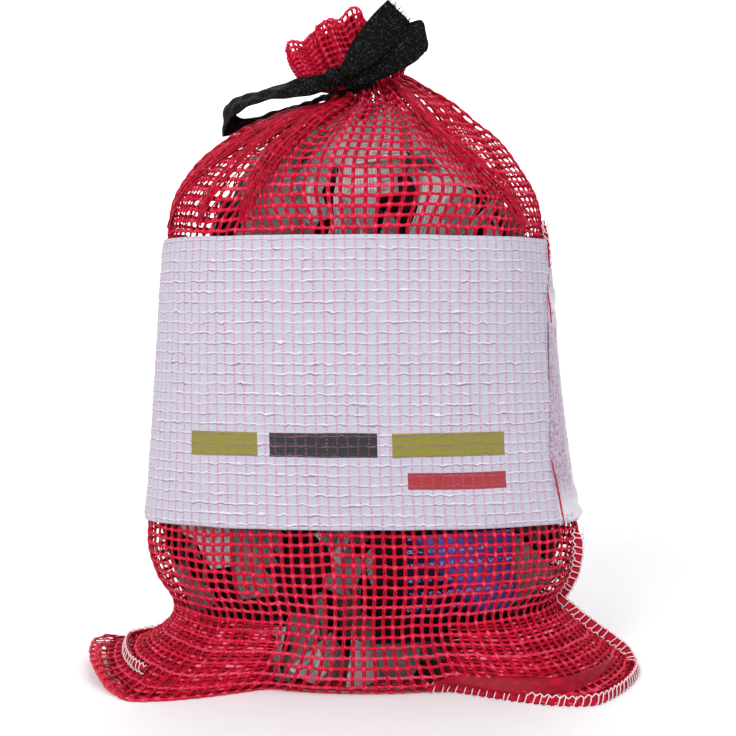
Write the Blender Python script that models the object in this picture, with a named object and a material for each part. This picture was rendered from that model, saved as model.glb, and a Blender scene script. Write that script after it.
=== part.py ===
"""A small net sack, stuffed full and tied at the neck, that stands on its own base.

The sack is one closed body: a flat base with two folded corners that lie out to the
sides like ears, a body that bulges over the base, shoulders gathered in soft pleats,
a tied neck and a ruffle of loose net above it. A broad label band goes round the
middle, and a flat ribbon ties the neck, with a loop on one side and a fold and a
loose end on the other.

Sizes below are in millimetres. X runs along the width, with the front at -Y, and
the base lies on Z = 0.
"""

import math

import bmesh
import bpy
from mathutils import Vector

MM = 0.001

# The sack as a whole
WIDTH = 236.0  # widest part of the body, a little above the base
DEPTH = 114.0  # the body there, front to back
BULGE_HEIGHT = 66.0  # height of the widest part
NECK_HEIGHT = 311.0  # middle of the tie
NECK_WIDTH = 41.0
NECK_LEAN = math.radians(15.0)  # the tie sits lower on the left
LEAN_START = 290.0  # the net below this height is level
SQUARENESS = 2.12  # exponent of the rounded sections, 2 would be an ellipse
FLOOR_EDGE_HEIGHT = 16.0  # the lower edge is rounded up to this height
FLOOR_EDGE_INSET = 8.0  # and draws in this far at the floor
SIDES = 72  # facets round the sack

# The two folded corners of the base
EAR_REACH = 53.0  # how far a corner goes out past the body, at the floor
EAR_HEIGHT = 34.0  # where its upper edge meets the body
# the corners point a little to the front
EAR_TURN = {"left": math.radians(13.0), "right": math.radians(17.0)}
EAR_FLAT = math.radians(14.0)  # half the angle over which a corner keeps its reach
EAR_SPAN = math.radians(34.0)  # half the angle over which it fades away
EAR_HOLLOW = {"left": 2.3, "right": 1.1}  # above 1, the upper edge hangs in a hollow
EAR_SHARPNESS = 0.65  # how much less round the lower edge is at a corner

# The label band
BAND_BOTTOM = 78.0  # at the sides of the sack
BAND_TOP = 228.0
BAND_TILT = 7.5  # how much higher its edges lie at the front than at the sides
BAND_THICKNESS = 0.8
BAND_GAP = 0.6  # between the band and the sack, whose faceted walls differ a little

# The ruffle above the neck
RIM_CENTRE = (-15.5, 0.0, 331.0)
RIM_HALF_WIDTH = 28.0
RIM_HALF_DEPTH = 24.0
RIM_SLOPE = 9.0  # the rim is this much higher on the right, and lower on the left
RIM_RISE = 13.0  # and this much higher at the front and the back
RIM_DISH = 9.0  # how deep its middle lies
RUFFLE_RINGS = 6

# The pleats of the gathered net, as waves round the neck: weight, number and phase
PLEAT_WAVES = ((0.65, 11, 0.6), (0.35, 7, 2.1))
PLEAT_START = 236.0  # they begin just above the label band
PLEAT_DEPTH = 0.075  # at the neck, as a share of the radius
RIM_WAVES = ((0.45, 5, 0.4), (0.35, 8, 2.0), (0.2, 3, 1.0))
RIM_DEPTH = 0.2  # how far they push the rim in and out, as a share of its radius
RIM_HEIGHT_WAVE = 3.0  # and how far up and down
RIM_FLARE = 0.75  # below 1, the ruffle opens quickly above the tie
RIM_DROOP = 0.5  # how much quicker it opens where it hangs over, on the left
DROOP_TURN = math.radians(-165.0)  # which way it hangs over

# The ribbon
RIBBON_WIDTH = 13.5
RIBBON_THICKNESS = 1.6
COLLAR_GAP = 1.15  # between the collar and the neck, whose faceted walls differ a little
COLLAR_THICKNESS = 2.6  # the ribbon is bunched where it goes round the neck
COLLAR_LEVELS = (307.5, 309.5, NECK_HEIGHT)
KNOT_CENTRE = (-15.0, -27.5, 313.0)
KNOT_SIZE = (9.0, 6.0, 7.0)  # half its length, depth and height
STRAP_STEPS = 3  # pieces of strap between two of its stops

# Half-width, half-depth and middle of the sack at named heights. Each line gives the
# height, then the half-width, half-depth, and the shift of the middle in X and in Y.
STATIONS = (
    (0.0, 99.0, 66.0, -2.0, -9.5),
    (EAR_HEIGHT, 105.0, 58.0, -2.0, -7.5),
    (48.0, 113.5, 58.0, -2.2, -7.0),
    (BULGE_HEIGHT, WIDTH / 2, DEPTH / 2, -2.5, -6.0),
    (100.0, 113.8, 59.0, -4.2, -4.0),
    (163.0, 107.0, 65.5, -5.6, -1.5),
    (BAND_TOP, 101.0, 70.0, -6.2, 0.0),
    (246.0, 97.8, 69.0, -6.4, 0.0),
    (266.0, 86.5, 62.0, -6.2, 0.0),
    (284.0, 69.5, 51.0, -2.6, 0.0),
    (296.0, 49.5, 40.0, 0.6, 0.0),
    (304.0, 31.5, 28.0, 1.6, 0.0),
    (NECK_HEIGHT, NECK_WIDTH / 2, 19.0, 0.5, 0.0),
)

FLOOR_LEVELS = (0.0, 2.0, 5.0, 9.0, 14.0, 20.0, 27.0, 34.0, 42.0, 51.0, 62.0)
BAND_STEPS = 7
SHOULDER_LEVELS = (
    238.0, 246.0, 254.0, 262.0, 269.0, 276.0, 282.0, 288.0, 293.0, 298.0, 302.0, 305.0, 308.0,
)


def smooth_step(value):
    """Goes from 0 to 1 with a soft start and end."""
    value = min(1.0, max(0.0, value))
    return value * value * (3.0 - 2.0 * value)


def station(height):
    """Half-width, half-depth and shift of the middle at a height, on curves through the stations."""
    last = len(STATIONS) - 1
    low = 0
    while low < last - 1 and STATIONS[low + 1][0] <= height:
        low += 1
    below, above = STATIONS[low], STATIONS[low + 1]
    before = STATIONS[max(low - 1, 0)]
    after = STATIONS[min(low + 2, last)]
    span = above[0] - below[0]
    t = (height - below[0]) / span
    values = []
    for column in range(1, 5):
        leaving = slope_at(before, below, above, column) * span
        arriving = slope_at(below, above, after, column) * span
        values.append(
            (2 * t**3 - 3 * t**2 + 1) * below[column]
            + (t**3 - 2 * t**2 + t) * leaving
            + (3 * t**2 - 2 * t**3) * above[column]
            + (t**3 - t**2) * arriving
        )
    return values


def slope_at(before, here, after, column):
    """Slope of a station's curve, flat where the curve turns back."""
    rise = [
        (b[column] - a[column]) / (b[0] - a[0])
        for a, b in ((before, here), (here, after))
        if b[0] > a[0]
    ]
    if len(rise) == 1:
        return rise[0]
    if rise[0] * rise[1] <= 0:
        return 0.0
    return 2 * rise[0] * rise[1] / (rise[0] + rise[1])


def ear_shares(angle):
    """How much of each folded corner there is at an angle, from 0 to 1."""
    shares = {}
    for side, middle in (("right", -EAR_TURN["right"]), ("left", math.pi + EAR_TURN["left"])):
        off = abs((angle - middle + math.pi) % (2 * math.pi) - math.pi)
        shares[side] = 1.0 - smooth_step((off - EAR_FLAT) / (EAR_SPAN - EAR_FLAT))
    return shares


def ear_reach(angle, height):
    """How far the folded corners push the section outwards."""
    rest = max(0.0, 1.0 - height / EAR_HEIGHT)
    shares = ear_shares(angle)
    return sum(EAR_REACH * shares[side] * rest ** EAR_HOLLOW[side] for side in shares)


def floor_edge(angle, height):
    """The lower edge is rounded: how far it draws in near the floor."""
    inset = FLOOR_EDGE_INSET * (1.0 - EAR_SHARPNESS * max(ear_shares(angle).values()))
    return inset * max(0.0, 1.0 - height / FLOOR_EDGE_HEIGHT) ** 2


def pleat_depth(height):
    return PLEAT_DEPTH * smooth_step((height - PLEAT_START) / (NECK_HEIGHT - PLEAT_START))


def wave(waves, angle):
    """Uneven waves round the sack, between -1 and 1."""
    return sum(weight * math.cos(number * angle + phase) for weight, number, phase in waves)


def sack_point(angle, height, outward=0.0):
    """A point on the sack, or this far outside it, in metres."""
    half_width, half_depth, shift_x, shift_y = station(height)
    across = abs(math.cos(angle) / half_width) ** SQUARENESS
    along = abs(math.sin(angle) / half_depth) ** SQUARENESS
    radius = (across + along) ** (-1.0 / SQUARENESS)
    radius *= 1.0 + pleat_depth(height) * wave(PLEAT_WAVES, angle)
    radius += ear_reach(angle, height) - floor_edge(angle, height) + outward
    x = radius * math.cos(angle)
    y = radius * math.sin(angle)
    tilt = BAND_TILT * smooth_step(height / BAND_BOTTOM)
    tilt *= 1.0 - smooth_step((height - BAND_TOP) / (NECK_HEIGHT - BAND_TOP))
    z = height - tilt * y / half_depth
    z += x * math.tan(NECK_LEAN) * smooth_step((height - LEAN_START) / (NECK_HEIGHT - LEAN_START))
    return Vector((x + shift_x, y + shift_y, z)) * MM


def ruffle_point(angle, t):
    """A point on the ruffle, from the neck at t = 0 to the rim at t = 1."""
    neck = sack_point(angle, NECK_HEIGHT) / MM
    spread = 1.0 + RIM_DEPTH * wave(RIM_WAVES, angle)
    rise = RIM_SLOPE * math.cos(angle) + RIM_RISE * math.sin(angle) ** 2
    rise += RIM_HEIGHT_WAVE * wave(RIM_WAVES, 2.0 * angle)
    x, y, z = RIM_CENTRE
    rim = Vector((
        x + RIM_HALF_WIDTH * spread * math.cos(angle),
        y + RIM_HALF_DEPTH * spread * math.sin(angle),
        z + rise,
    ))
    hanging = max(0.0, math.cos(angle - DROOP_TURN)) ** 2
    point = neck.lerp(rim, t ** (RIM_FLARE - RIM_DROOP * hanging))
    point.z = neck.z + (rim.z - neck.z) * t
    return point * MM


def material(name, colour, roughness, metallic=0.0):
    made = bpy.data.materials.new(name)
    made.use_nodes = True
    shader = made.node_tree.nodes["Principled BSDF"]
    shader.inputs["Base Color"].default_value = (*colour, 1.0)
    shader.inputs["Roughness"].default_value = roughness
    shader.inputs["Metallic"].default_value = metallic
    return made


def add_object(name, mesh_builder, finish):
    """Makes an object of a bmesh, shaded smooth, with its material."""
    mesh = bpy.data.meshes.new(name)
    bmesh.ops.recalc_face_normals(mesh_builder, faces=mesh_builder.faces)
    mesh_builder.to_mesh(mesh)
    mesh_builder.free()
    mesh.shade_smooth()
    mesh.set_sharp_from_angle(angle=math.radians(50.0))
    mesh.materials.append(finish)
    made = bpy.data.objects.new(name, mesh)
    bpy.context.collection.objects.link(made)
    return made


def angles():
    return [2 * math.pi * i / SIDES for i in range(SIDES)]


def band_levels():
    step = (BAND_TOP - BAND_BOTTOM) / BAND_STEPS
    return [BAND_BOTTOM + step * i for i in range(BAND_STEPS + 1)]


def join_rings(shape, rings):
    """Faces between rings of points that follow each other."""
    for lower, upper in zip(rings, rings[1:]):
        count = len(lower)
        for i in range(count):
            j = (i + 1) % count
            shape.faces.new((lower[i], lower[j], upper[j], upper[i]))


def close_with_fan(shape, ring, centre):
    middle = shape.verts.new(centre)
    for i, vert in enumerate(ring):
        shape.faces.new((vert, ring[(i + 1) % len(ring)], middle))


def build_sack():
    shape = bmesh.new()
    levels = [*FLOOR_LEVELS, *band_levels(), *SHOULDER_LEVELS, NECK_HEIGHT]
    rings = [[shape.verts.new(sack_point(a, h)) for a in angles()] for h in levels]
    for step in range(1, RUFFLE_RINGS + 1):
        t = step / RUFFLE_RINGS
        rings.append([shape.verts.new(ruffle_point(a, t)) for a in angles()])
    join_rings(shape, rings)
    _, _, shift_x, shift_y = station(0.0)
    close_with_fan(shape, rings[0], Vector((shift_x, shift_y, 0.0)) * MM)
    dish = Vector(RIM_CENTRE) + Vector((0.0, 0.0, RIM_RISE / 2 - RIM_DISH))
    close_with_fan(shape, rings[-1], dish * MM)
    return add_object("net_sack", shape, material("Net red", (0.50, 0.01, 0.03), 0.5))


def build_band():
    shape = bmesh.new()
    inner = [
        [shape.verts.new(sack_point(a, h, BAND_GAP)) for a in angles()] for h in band_levels()
    ]
    outer = [
        [shape.verts.new(sack_point(a, h, BAND_GAP + BAND_THICKNESS)) for a in angles()]
        for h in band_levels()
    ]
    join_rings(shape, [*outer, *reversed(inner), outer[0]])
    return add_object("label_band", shape, material("Band white", (0.62, 0.64, 0.74), 0.45))


def strap(shape, points, facings, width, thickness):
    """A flat strap along points, its broad face turned to the facings given."""
    rings = []
    for i, here in enumerate(points):
        ahead = points[min(i + 1, len(points) - 1)]
        behind = points[max(i - 1, 0)]
        along = (ahead - behind).normalized()
        facing = facings[i] - along * facings[i].dot(along)
        facing.normalize()
        across = along.cross(facing)
        corners = (
            across * width / 2 + facing * thickness / 2,
            -across * width / 2 + facing * thickness / 2,
            -across * width / 2 - facing * thickness / 2,
            across * width / 2 - facing * thickness / 2,
        )
        rings.append([shape.verts.new((here + corner) * MM) for corner in corners])
    join_rings(shape, rings)
    shape.faces.new(rings[0])
    shape.faces.new(reversed(rings[-1]))


def smooth_path(stops, per_span):
    """Points on a smooth curve through the stops."""
    points = []
    for i in range(len(stops) - 1):
        before = stops[max(i - 1, 0)]
        after = stops[min(i + 2, len(stops) - 1)]
        here, there = stops[i], stops[i + 1]
        for step in range(per_span):
            t = step / per_span
            points.append(
                0.5
                * (
                    2 * here
                    + (there - before) * t
                    + (2 * before - 5 * here + 4 * there - after) * t**2
                    + (3 * here - before - 3 * there + after) * t**3
                )
            )
    points.append(stops[-1])
    return points


def vectors(rows):
    return [Vector(row) for row in rows]


# The stops of each stretch of ribbon, and which way its broad face looks there
LOOP_STOPS = vectors((
    (-14, -27, 312), (-28, -28, 309), (-43, -26, 306.5), (-58, -23, 303), (-69, -19, 298.5),
    (-75, -12, 292), (-72.5, -3, 289), (-62, 5, 291), (-50, 11, 295.5), (-38, 13, 299),
    (-29, 11, 302), (-22.5, 9, 305),
))
LOOP_FACINGS = vectors((
    (0, -1, 0.3), (-0.1, -1, 0.4), (-0.1, -0.7, 0.9), (-0.3, -0.6, 1.1), (-0.7, -0.6, 0.8),
    (-1, -0.4, 0.2), (-0.9, 0.1, 0.6), (-0.5, 0.2, 0.9), (-0.3, 0.2, 0.9), (-0.3, 0.2, 0.9),
    (-0.5, 0.2, 0.8), (-0.6, 0.3, 0.7),
))
FOLD_STOPS = vectors((
    (-13, -28, 311), (-4, -31.5, 313.5), (8, -32.5, 320), (18, -31.5, 327), (25.5, -29, 331.5),
    (29.5, -24.5, 333.5), (25, -20.5, 332), (17, -20.5, 328.5), (7, -24.5, 321.5), (-8, -27.5, 313),
))
FOLD_FACINGS = vectors((
    (0.1, -1, 0.1), (0.1, -1, 0.2), (0.2, -1, 0.2), (0.3, -1, 0.1), (0.7, -0.7, 0),
    (1, 0, 0.2), (0.3, 1, 0.2), (-0.2, 1, 0.3), (-0.2, 1, 0.3), (-0.2, 1, 0.2),
))
END_STOPS = vectors((
    (-14, -30, 312), (-9, -34.5, 317.5), (-3.5, -36.5, 323.5), (3, -36.5, 330.5),
    (10, -35, 338), (16, -32, 344.5),
))
END_FACINGS = vectors((
    (-0.1, -1, 0.2), (-0.1, -1, 0.2), (-0.1, -1, 0.2), (0, -1, 0.1), (0.1, -1, 0), (0.1, -1, 0),
))


def build_knot(shape):
    bmesh.ops.create_uvsphere(shape, u_segments=16, v_segments=10, radius=1.0)
    for vert in shape.verts:
        stretched = [size * part for size, part in zip(KNOT_SIZE, vert.co)]
        vert.co = (Vector(KNOT_CENTRE) + Vector(stretched)) * MM


def build_collar(shape):
    """The turn of ribbon round the neck, which follows the gathered net."""
    inner, outer = (
        [[shape.verts.new(sack_point(a, h, outward)) for a in angles()] for h in COLLAR_LEVELS]
        for outward in (COLLAR_GAP, COLLAR_GAP + COLLAR_THICKNESS)
    )
    join_rings(shape, [*outer, *reversed(inner), outer[0]])


def build_ribbon():
    """Collar, knot, loop, fold and loose end, joined as one piece of ribbon."""
    finish = material("Ribbon black", (0.01, 0.01, 0.011), 0.6)
    pieces = []
    shape = bmesh.new()
    build_collar(shape)
    pieces.append(add_object("ribbon_collar", shape, finish))
    shape = bmesh.new()
    build_knot(shape)
    pieces.append(add_object("ribbon_knot", shape, finish))
    stretches = (
        ("ribbon_loop", LOOP_STOPS, LOOP_FACINGS),
        ("ribbon_fold", FOLD_STOPS, FOLD_FACINGS),
        ("ribbon_end", END_STOPS, END_FACINGS),
    )
    for name, stops, facings in stretches:
        shape = bmesh.new()
        points = smooth_path(stops, STRAP_STEPS)
        turned = smooth_path(facings, STRAP_STEPS)
        strap(shape, points, turned, RIBBON_WIDTH, RIBBON_THICKNESS)
        pieces.append(add_object(name, shape, finish))
    return unite(pieces, "tie_ribbon")


def unite(pieces, name):
    """One body made of several that cross each other."""
    group = bpy.data.collections.new(name + "_pieces")
    bpy.context.scene.collection.children.link(group)
    whole = pieces[0]
    for piece in pieces[1:]:
        bpy.context.collection.objects.unlink(piece)
        group.objects.link(piece)
    union = whole.modifiers.new("Union", "BOOLEAN")
    union.operation = "UNION"
    union.operand_type = "COLLECTION"
    union.collection = group
    union.solver = "EXACT"
    bpy.context.view_layer.update()
    evaluated = whole.evaluated_get(bpy.context.evaluated_depsgraph_get())
    joined = bpy.data.meshes.new_from_object(evaluated)
    whole.modifiers.clear()
    whole.data = joined
    whole.name = name
    for piece in pieces[1:]:
        bpy.data.objects.remove(piece)
    bpy.data.collections.remove(group)
    return whole


def main():
    for old in list(bpy.data.objects):
        bpy.data.objects.remove(old)
    build_sack()
    build_band()
    build_ribbon()


main()
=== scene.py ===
"""The looks of a small net sack, stuffed with crumpled newsprint and tied with a ribbon.

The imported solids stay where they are, hidden, and the pieces made here stand for them:
a leno-woven net of single threads, a label film pressed on to it, the paper inside, a
sewn side and bottom seam, and a woven ribbon. Lengths are in millimetres until a mesh
is made, and everything in Blender is in metres.
"""

import math

import bpy
import numpy as np
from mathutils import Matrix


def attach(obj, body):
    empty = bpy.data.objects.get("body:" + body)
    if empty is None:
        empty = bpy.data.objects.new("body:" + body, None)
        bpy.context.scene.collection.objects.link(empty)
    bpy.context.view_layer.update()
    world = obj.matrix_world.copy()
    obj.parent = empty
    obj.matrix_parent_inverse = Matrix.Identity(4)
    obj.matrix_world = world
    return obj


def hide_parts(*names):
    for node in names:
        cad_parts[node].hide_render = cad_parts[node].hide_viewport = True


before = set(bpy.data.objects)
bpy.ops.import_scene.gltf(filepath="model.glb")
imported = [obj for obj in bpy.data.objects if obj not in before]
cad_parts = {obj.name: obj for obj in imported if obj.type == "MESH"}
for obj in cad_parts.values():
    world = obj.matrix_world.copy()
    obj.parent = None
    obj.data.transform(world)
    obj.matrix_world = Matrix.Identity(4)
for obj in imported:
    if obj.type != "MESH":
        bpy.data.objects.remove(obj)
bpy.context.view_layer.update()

bl_info = {
    "name": "Stuffed net sack",
    "version": (1, 0, 0),
    "blender": (4, 5, 0),
    "location": "3D View > Sidebar > Net sack",
    "description": "Dresses the solids of a net sack with its net, label, paper, seam and ribbon",
    "category": "Object",
}

MM = 0.001
TURN = 2 * math.pi
FRONT = -math.pi / 2
BODY = "root"

# The form of the sack, as its solids have it
NECK_HEIGHT = 311.0
NECK_LEAN = math.radians(15.0)
LEAN_START = 290.0
SQUARENESS = 2.12
FLOOR_EDGE_HEIGHT = 16.0
FLOOR_EDGE_INSET = 8.0
EAR_REACH = 53.0
EAR_HEIGHT = 34.0
EAR_MIDDLE = {"right": math.radians(-17.0), "left": math.pi + math.radians(13.0)}
EAR_FLAT = math.radians(14.0)
EAR_SPAN = math.radians(34.0)
EAR_HOLLOW = {"left": 2.3, "right": 1.1}
EAR_SHARPNESS = 0.65
BAND_BOTTOM = 78.0
BAND_TOP = 228.0
BAND_TILT = 7.5
PLEAT_WAVES = ((0.65, 11, 0.6), (0.35, 7, 2.1))
PLEAT_START = 236.0
PLEAT_DEPTH = 0.075
RIM_CENTRE = (-15.5, 0.0, 331.0)
RIM_HALF_WIDTH = 28.0
RIM_HALF_DEPTH = 24.0
RIM_SLOPE = 9.0
RIM_RISE = 13.0
RIM_WAVES = ((0.45, 5, 0.4), (0.35, 8, 2.0), (0.2, 3, 1.0))
RIM_DEPTH = 0.2
RIM_HEIGHT_WAVE = 3.0
RIM_FLARE = 0.75
RIM_DROOP = 0.5
DROOP_TURN = math.radians(-165.0)

# Height, half-width, half-depth and the shift of the middle in X and in Y
STATIONS = np.array((
    (0.0, 99.0, 66.0, -2.0, -9.5),
    (EAR_HEIGHT, 105.0, 58.0, -2.0, -7.5),
    (48.0, 113.5, 58.0, -2.2, -7.0),
    (66.0, 118.0, 57.0, -2.5, -6.0),
    (100.0, 113.8, 59.0, -4.2, -4.0),
    (163.0, 107.0, 65.5, -5.6, -1.5),
    (BAND_TOP, 101.0, 70.0, -6.2, 0.0),
    (246.0, 97.8, 69.0, -6.4, 0.0),
    (266.0, 86.5, 62.0, -6.2, 0.0),
    (284.0, 69.5, 51.0, -2.6, 0.0),
    (296.0, 49.5, 40.0, 0.6, 0.0),
    (304.0, 31.5, 28.0, 1.6, 0.0),
    (NECK_HEIGHT, 20.5, 19.0, 0.5, 0.0),
))

CLEAR_OF_FLOOR = 0.9  # middle of the lowest threads
LOWEST = 0.05  # no point goes through the floor


# Form of the sack


def smooth_step(value):
    """Goes from 0 to 1 with a soft start and end."""
    value = np.clip(value, 0.0, 1.0)
    return value * value * (3.0 - 2.0 * value)


def angle_off(angle, middle):
    """How far an angle is from another, between minus and plus half a turn."""
    return (angle - middle + math.pi) % TURN - math.pi


def station_slopes():
    """Slope of each station's curves, flat where a curve turns back."""
    rise = np.diff(STATIONS[:, 1:], axis=0) / np.diff(STATIONS[:, :1], axis=0)
    before, after = rise[:-1], rise[1:]
    turning = before * after <= 0
    total = np.where(turning, 1.0, before + after)
    inner = np.where(turning, 0.0, 2.0 * before * after / total)
    return np.vstack((rise[:1], inner, rise[-1:]))


STATION_SLOPES = station_slopes()


def station(height):
    """Half-width, half-depth and shift of the middle at each height."""
    levels = STATIONS[:, 0]
    low = np.clip(np.searchsorted(levels, height, side="right") - 1, 0, len(levels) - 2)
    span = (levels[low + 1] - levels[low])[..., None]
    t = (np.asarray(height) - levels[low])[..., None] / span
    values = (
        (2 * t**3 - 3 * t**2 + 1) * STATIONS[low, 1:]
        + (t**3 - 2 * t**2 + t) * STATION_SLOPES[low] * span
        + (3 * t**2 - 2 * t**3) * STATIONS[low + 1, 1:]
        + (t**3 - t**2) * STATION_SLOPES[low + 1] * span
    )
    return np.moveaxis(values, -1, 0)


def ear_shares(angle):
    """How much of each folded corner there is at an angle, from 0 to 1."""
    return {
        side: 1.0 - smooth_step((np.abs(angle_off(angle, middle)) - EAR_FLAT) / (EAR_SPAN - EAR_FLAT))
        for side, middle in EAR_MIDDLE.items()
    }


def ear_reach(angle, height):
    """How far the folded corners push the section outwards."""
    rest = np.maximum(0.0, 1.0 - height / EAR_HEIGHT)
    shares = ear_shares(angle)
    return sum(EAR_REACH * shares[side] * rest ** EAR_HOLLOW[side] for side in shares)


def floor_edge(angle, height):
    """The lower edge is rounded: how far it draws in near the floor."""
    inset = FLOOR_EDGE_INSET * (1.0 - EAR_SHARPNESS * np.maximum(*ear_shares(angle).values()))
    return inset * np.maximum(0.0, 1.0 - height / FLOOR_EDGE_HEIGHT) ** 2


def wave(waves, angle):
    """Uneven waves round the sack, between -1 and 1."""
    return sum(weight * np.cos(number * angle + phase) for weight, number, phase in waves)


def sack_point(angle, height, outward=0.0, ears=1.0):
    """Points on the sack, or this far outside it."""
    angle, height = np.broadcast_arrays(np.asarray(angle, float), np.asarray(height, float))
    half_width, half_depth, shift_x, shift_y = station(height)
    across = np.abs(np.cos(angle) / half_width) ** SQUARENESS
    along = np.abs(np.sin(angle) / half_depth) ** SQUARENESS
    radius = (across + along) ** (-1.0 / SQUARENESS)
    depth = PLEAT_DEPTH * smooth_step((height - PLEAT_START) / (NECK_HEIGHT - PLEAT_START))
    radius = radius * (1.0 + depth * wave(PLEAT_WAVES, angle))
    radius = radius + ears * ear_reach(angle, height) - floor_edge(angle, height) + outward
    x = radius * np.cos(angle)
    y = radius * np.sin(angle)
    tilt = BAND_TILT * smooth_step(height / BAND_BOTTOM)
    tilt = tilt * (1.0 - smooth_step((height - BAND_TOP) / (NECK_HEIGHT - BAND_TOP)))
    lean = smooth_step((height - LEAN_START) / (NECK_HEIGHT - LEAN_START))
    z = height - tilt * y / half_depth + x * math.tan(NECK_LEAN) * lean
    return np.stack((x + shift_x, y + shift_y, z), axis=-1)


def ruffle_point(angle, t):
    """Points on the ruffle, from the neck at t = 0 to the rim at t = 1."""
    angle, t = np.broadcast_arrays(np.asarray(angle, float), np.asarray(t, float))
    neck = sack_point(angle, NECK_HEIGHT)
    spread = 1.0 + RIM_DEPTH * wave(RIM_WAVES, angle)
    rise = RIM_SLOPE * np.cos(angle) + RIM_RISE * np.sin(angle) ** 2
    rise = rise + RIM_HEIGHT_WAVE * wave(RIM_WAVES, 2.0 * angle)
    across = RIM_HALF_WIDTH * spread * np.cos(angle)
    along = RIM_HALF_DEPTH * spread * np.sin(angle)
    rim = np.stack((across, along, rise), axis=-1) + RIM_CENTRE
    hanging = np.maximum(0.0, np.cos(angle - DROOP_TURN)) ** 2
    flare = (t ** (RIM_FLARE - RIM_DROOP * hanging))[..., None]
    point = neck + (rim - neck) * flare
    point[..., 2] = neck[..., 2] + (rim[..., 2] - neck[..., 2]) * t
    return point


# Helpers for lines and grids


def unit(vectors):
    """The same directions with a length of 1."""
    length = np.linalg.norm(vectors, axis=-1, keepdims=True)
    return vectors / np.maximum(length, 1e-12)


def lengths_along(points, weights=1.0):
    """Length of a line up to each of its points."""
    steps = np.linalg.norm(np.diff(points, axis=0), axis=1) * weights
    return np.concatenate(((0.0,), np.cumsum(steps)))


def at_places(places, known, rows):
    """Rows of a table at places between the known ones."""
    return np.stack([np.interp(places, known, column) for column in rows.T], axis=-1)


def every_millimetre(line):
    """A line with a point every millimetre."""
    length = lengths_along(line)
    return at_places(np.linspace(0.0, length[-1], int(length[-1])), length, line)


def between(grid, steps, axis, closed):
    """Points of a grid with more of them along an axis, on Catmull-Rom curves."""
    grid = np.moveaxis(grid, axis, 0)
    if closed:
        before, after, later = np.roll(grid, 1, 0), np.roll(grid, -1, 0), np.roll(grid, -2, 0)
        here = grid
    else:
        padded = np.concatenate((2 * grid[:1] - grid[1:2], grid, 2 * grid[-1:] - grid[-2:-1]))
        before, here, after, later = padded[:-3], padded[1:-2], padded[2:-1], padded[3:]
    parts = []
    for step in range(steps):
        t = step / steps
        parts.append(0.5 * (
            2 * here
            + (after - before) * t
            + (2 * before - 5 * here + 4 * after - later) * t**2
            + (3 * here - before - 3 * after + later) * t**3
        ))
    dense = np.stack(parts, axis=1).reshape(-1, *grid.shape[1:])
    if not closed:
        dense = np.concatenate((dense, grid[-1:]))
    return np.moveaxis(dense, 0, axis)


def soft_noise(random, shape, reach):
    """Smooth noise between about -1 and 1 on a grid that closes round its columns."""
    rows, columns = shape
    row_waves = np.fft.fftfreq(rows)[:, None] * reach
    column_waves = np.fft.fftfreq(columns)[None, :] * reach
    fade = np.exp(-2.0 * (row_waves**2 + column_waves**2) * math.pi)
    noise = np.fft.ifft2(np.fft.fft2(random.standard_normal(shape)) * fade).real
    return noise / (noise.std() * 2.0)


# Helpers for meshes


def select_only(made):
    bpy.ops.object.select_all(action="DESELECT")
    made.select_set(True)
    bpy.context.view_layer.objects.active = made


def mesh_object(name, points_mm, faces, finish, uv=None, tone=None):
    """A smooth object of equal-sided faces, given in millimetres, with its material."""
    mesh = bpy.data.meshes.new(name)
    faces = np.asarray(faces, np.int32)
    points_mm = np.array(points_mm, float).reshape(-1, 3)
    points_mm[:, 2] = np.maximum(points_mm[:, 2], LOWEST)
    mesh.vertices.add(len(points_mm))
    mesh.vertices.foreach_set("co", (points_mm * MM).astype(np.float32).ravel())
    mesh.loops.add(faces.size)
    mesh.loops.foreach_set("vertex_index", faces.ravel())
    mesh.polygons.add(len(faces))
    starts = np.arange(0, faces.size, faces.shape[1], dtype=np.int32)
    mesh.polygons.foreach_set("loop_start", starts)
    if uv is not None:
        layer = mesh.uv_layers.new(name="UVMap")
        layer.data.foreach_set("uv", np.asarray(uv, np.float32).ravel())
    if tone is not None:
        layer = mesh.attributes.new("tone", "FLOAT", "POINT")
        layer.data.foreach_set("value", np.asarray(tone, np.float32).ravel())
    mesh.update(calc_edges=True)
    mesh.validate()
    mesh.materials.append(finish)
    made = bpy.data.objects.new(name, mesh)
    bpy.context.collection.objects.link(made)
    select_only(made)
    bpy.ops.object.shade_smooth()
    return made


def thicken(made, thickness):
    """Makes a thin sheet a closed solid, on its inner side."""
    thin = made.modifiers.new("Thin", "SOLIDIFY")
    thin.thickness = thickness * MM
    thin.offset = -1.0
    bpy.ops.object.modifier_apply(modifier=thin.name)
    return made


def grid_faces(rows, columns, rows_closed=False, columns_closed=False):
    """Faces between the points of a grid, which can close on itself either way."""
    index = np.arange(rows * columns).reshape(rows, columns)
    if rows_closed:
        index = np.vstack((index, index[:1]))
    if columns_closed:
        index = np.hstack((index, index[:, :1]))
    cells = (index[:-1, :-1], index[:-1, 1:], index[1:, 1:], index[1:, :-1])
    return np.stack(cells, axis=-1).reshape(-1, 4)


def cell_uv(left, low, right, high):
    """Places of the four corners of each cell."""
    left, low, right, high = np.broadcast_arrays(left, low, right, high)
    return np.stack((left, low, right, low, right, high, left, high), axis=-1).reshape(-1, 2)


def round_section(sides):
    turn = TURN * np.arange(sides) / sides
    return np.stack((np.cos(turn), np.sin(turn)), axis=-1)


def flat_section(steps):
    """Section of a strap: a front and a back face with slightly rounded edges."""
    share = np.linspace(-1.0, 1.0, steps)
    front = np.stack((-share, 1.0 - 0.5 * share**6), axis=-1)
    return np.vstack((front, -front))


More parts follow.
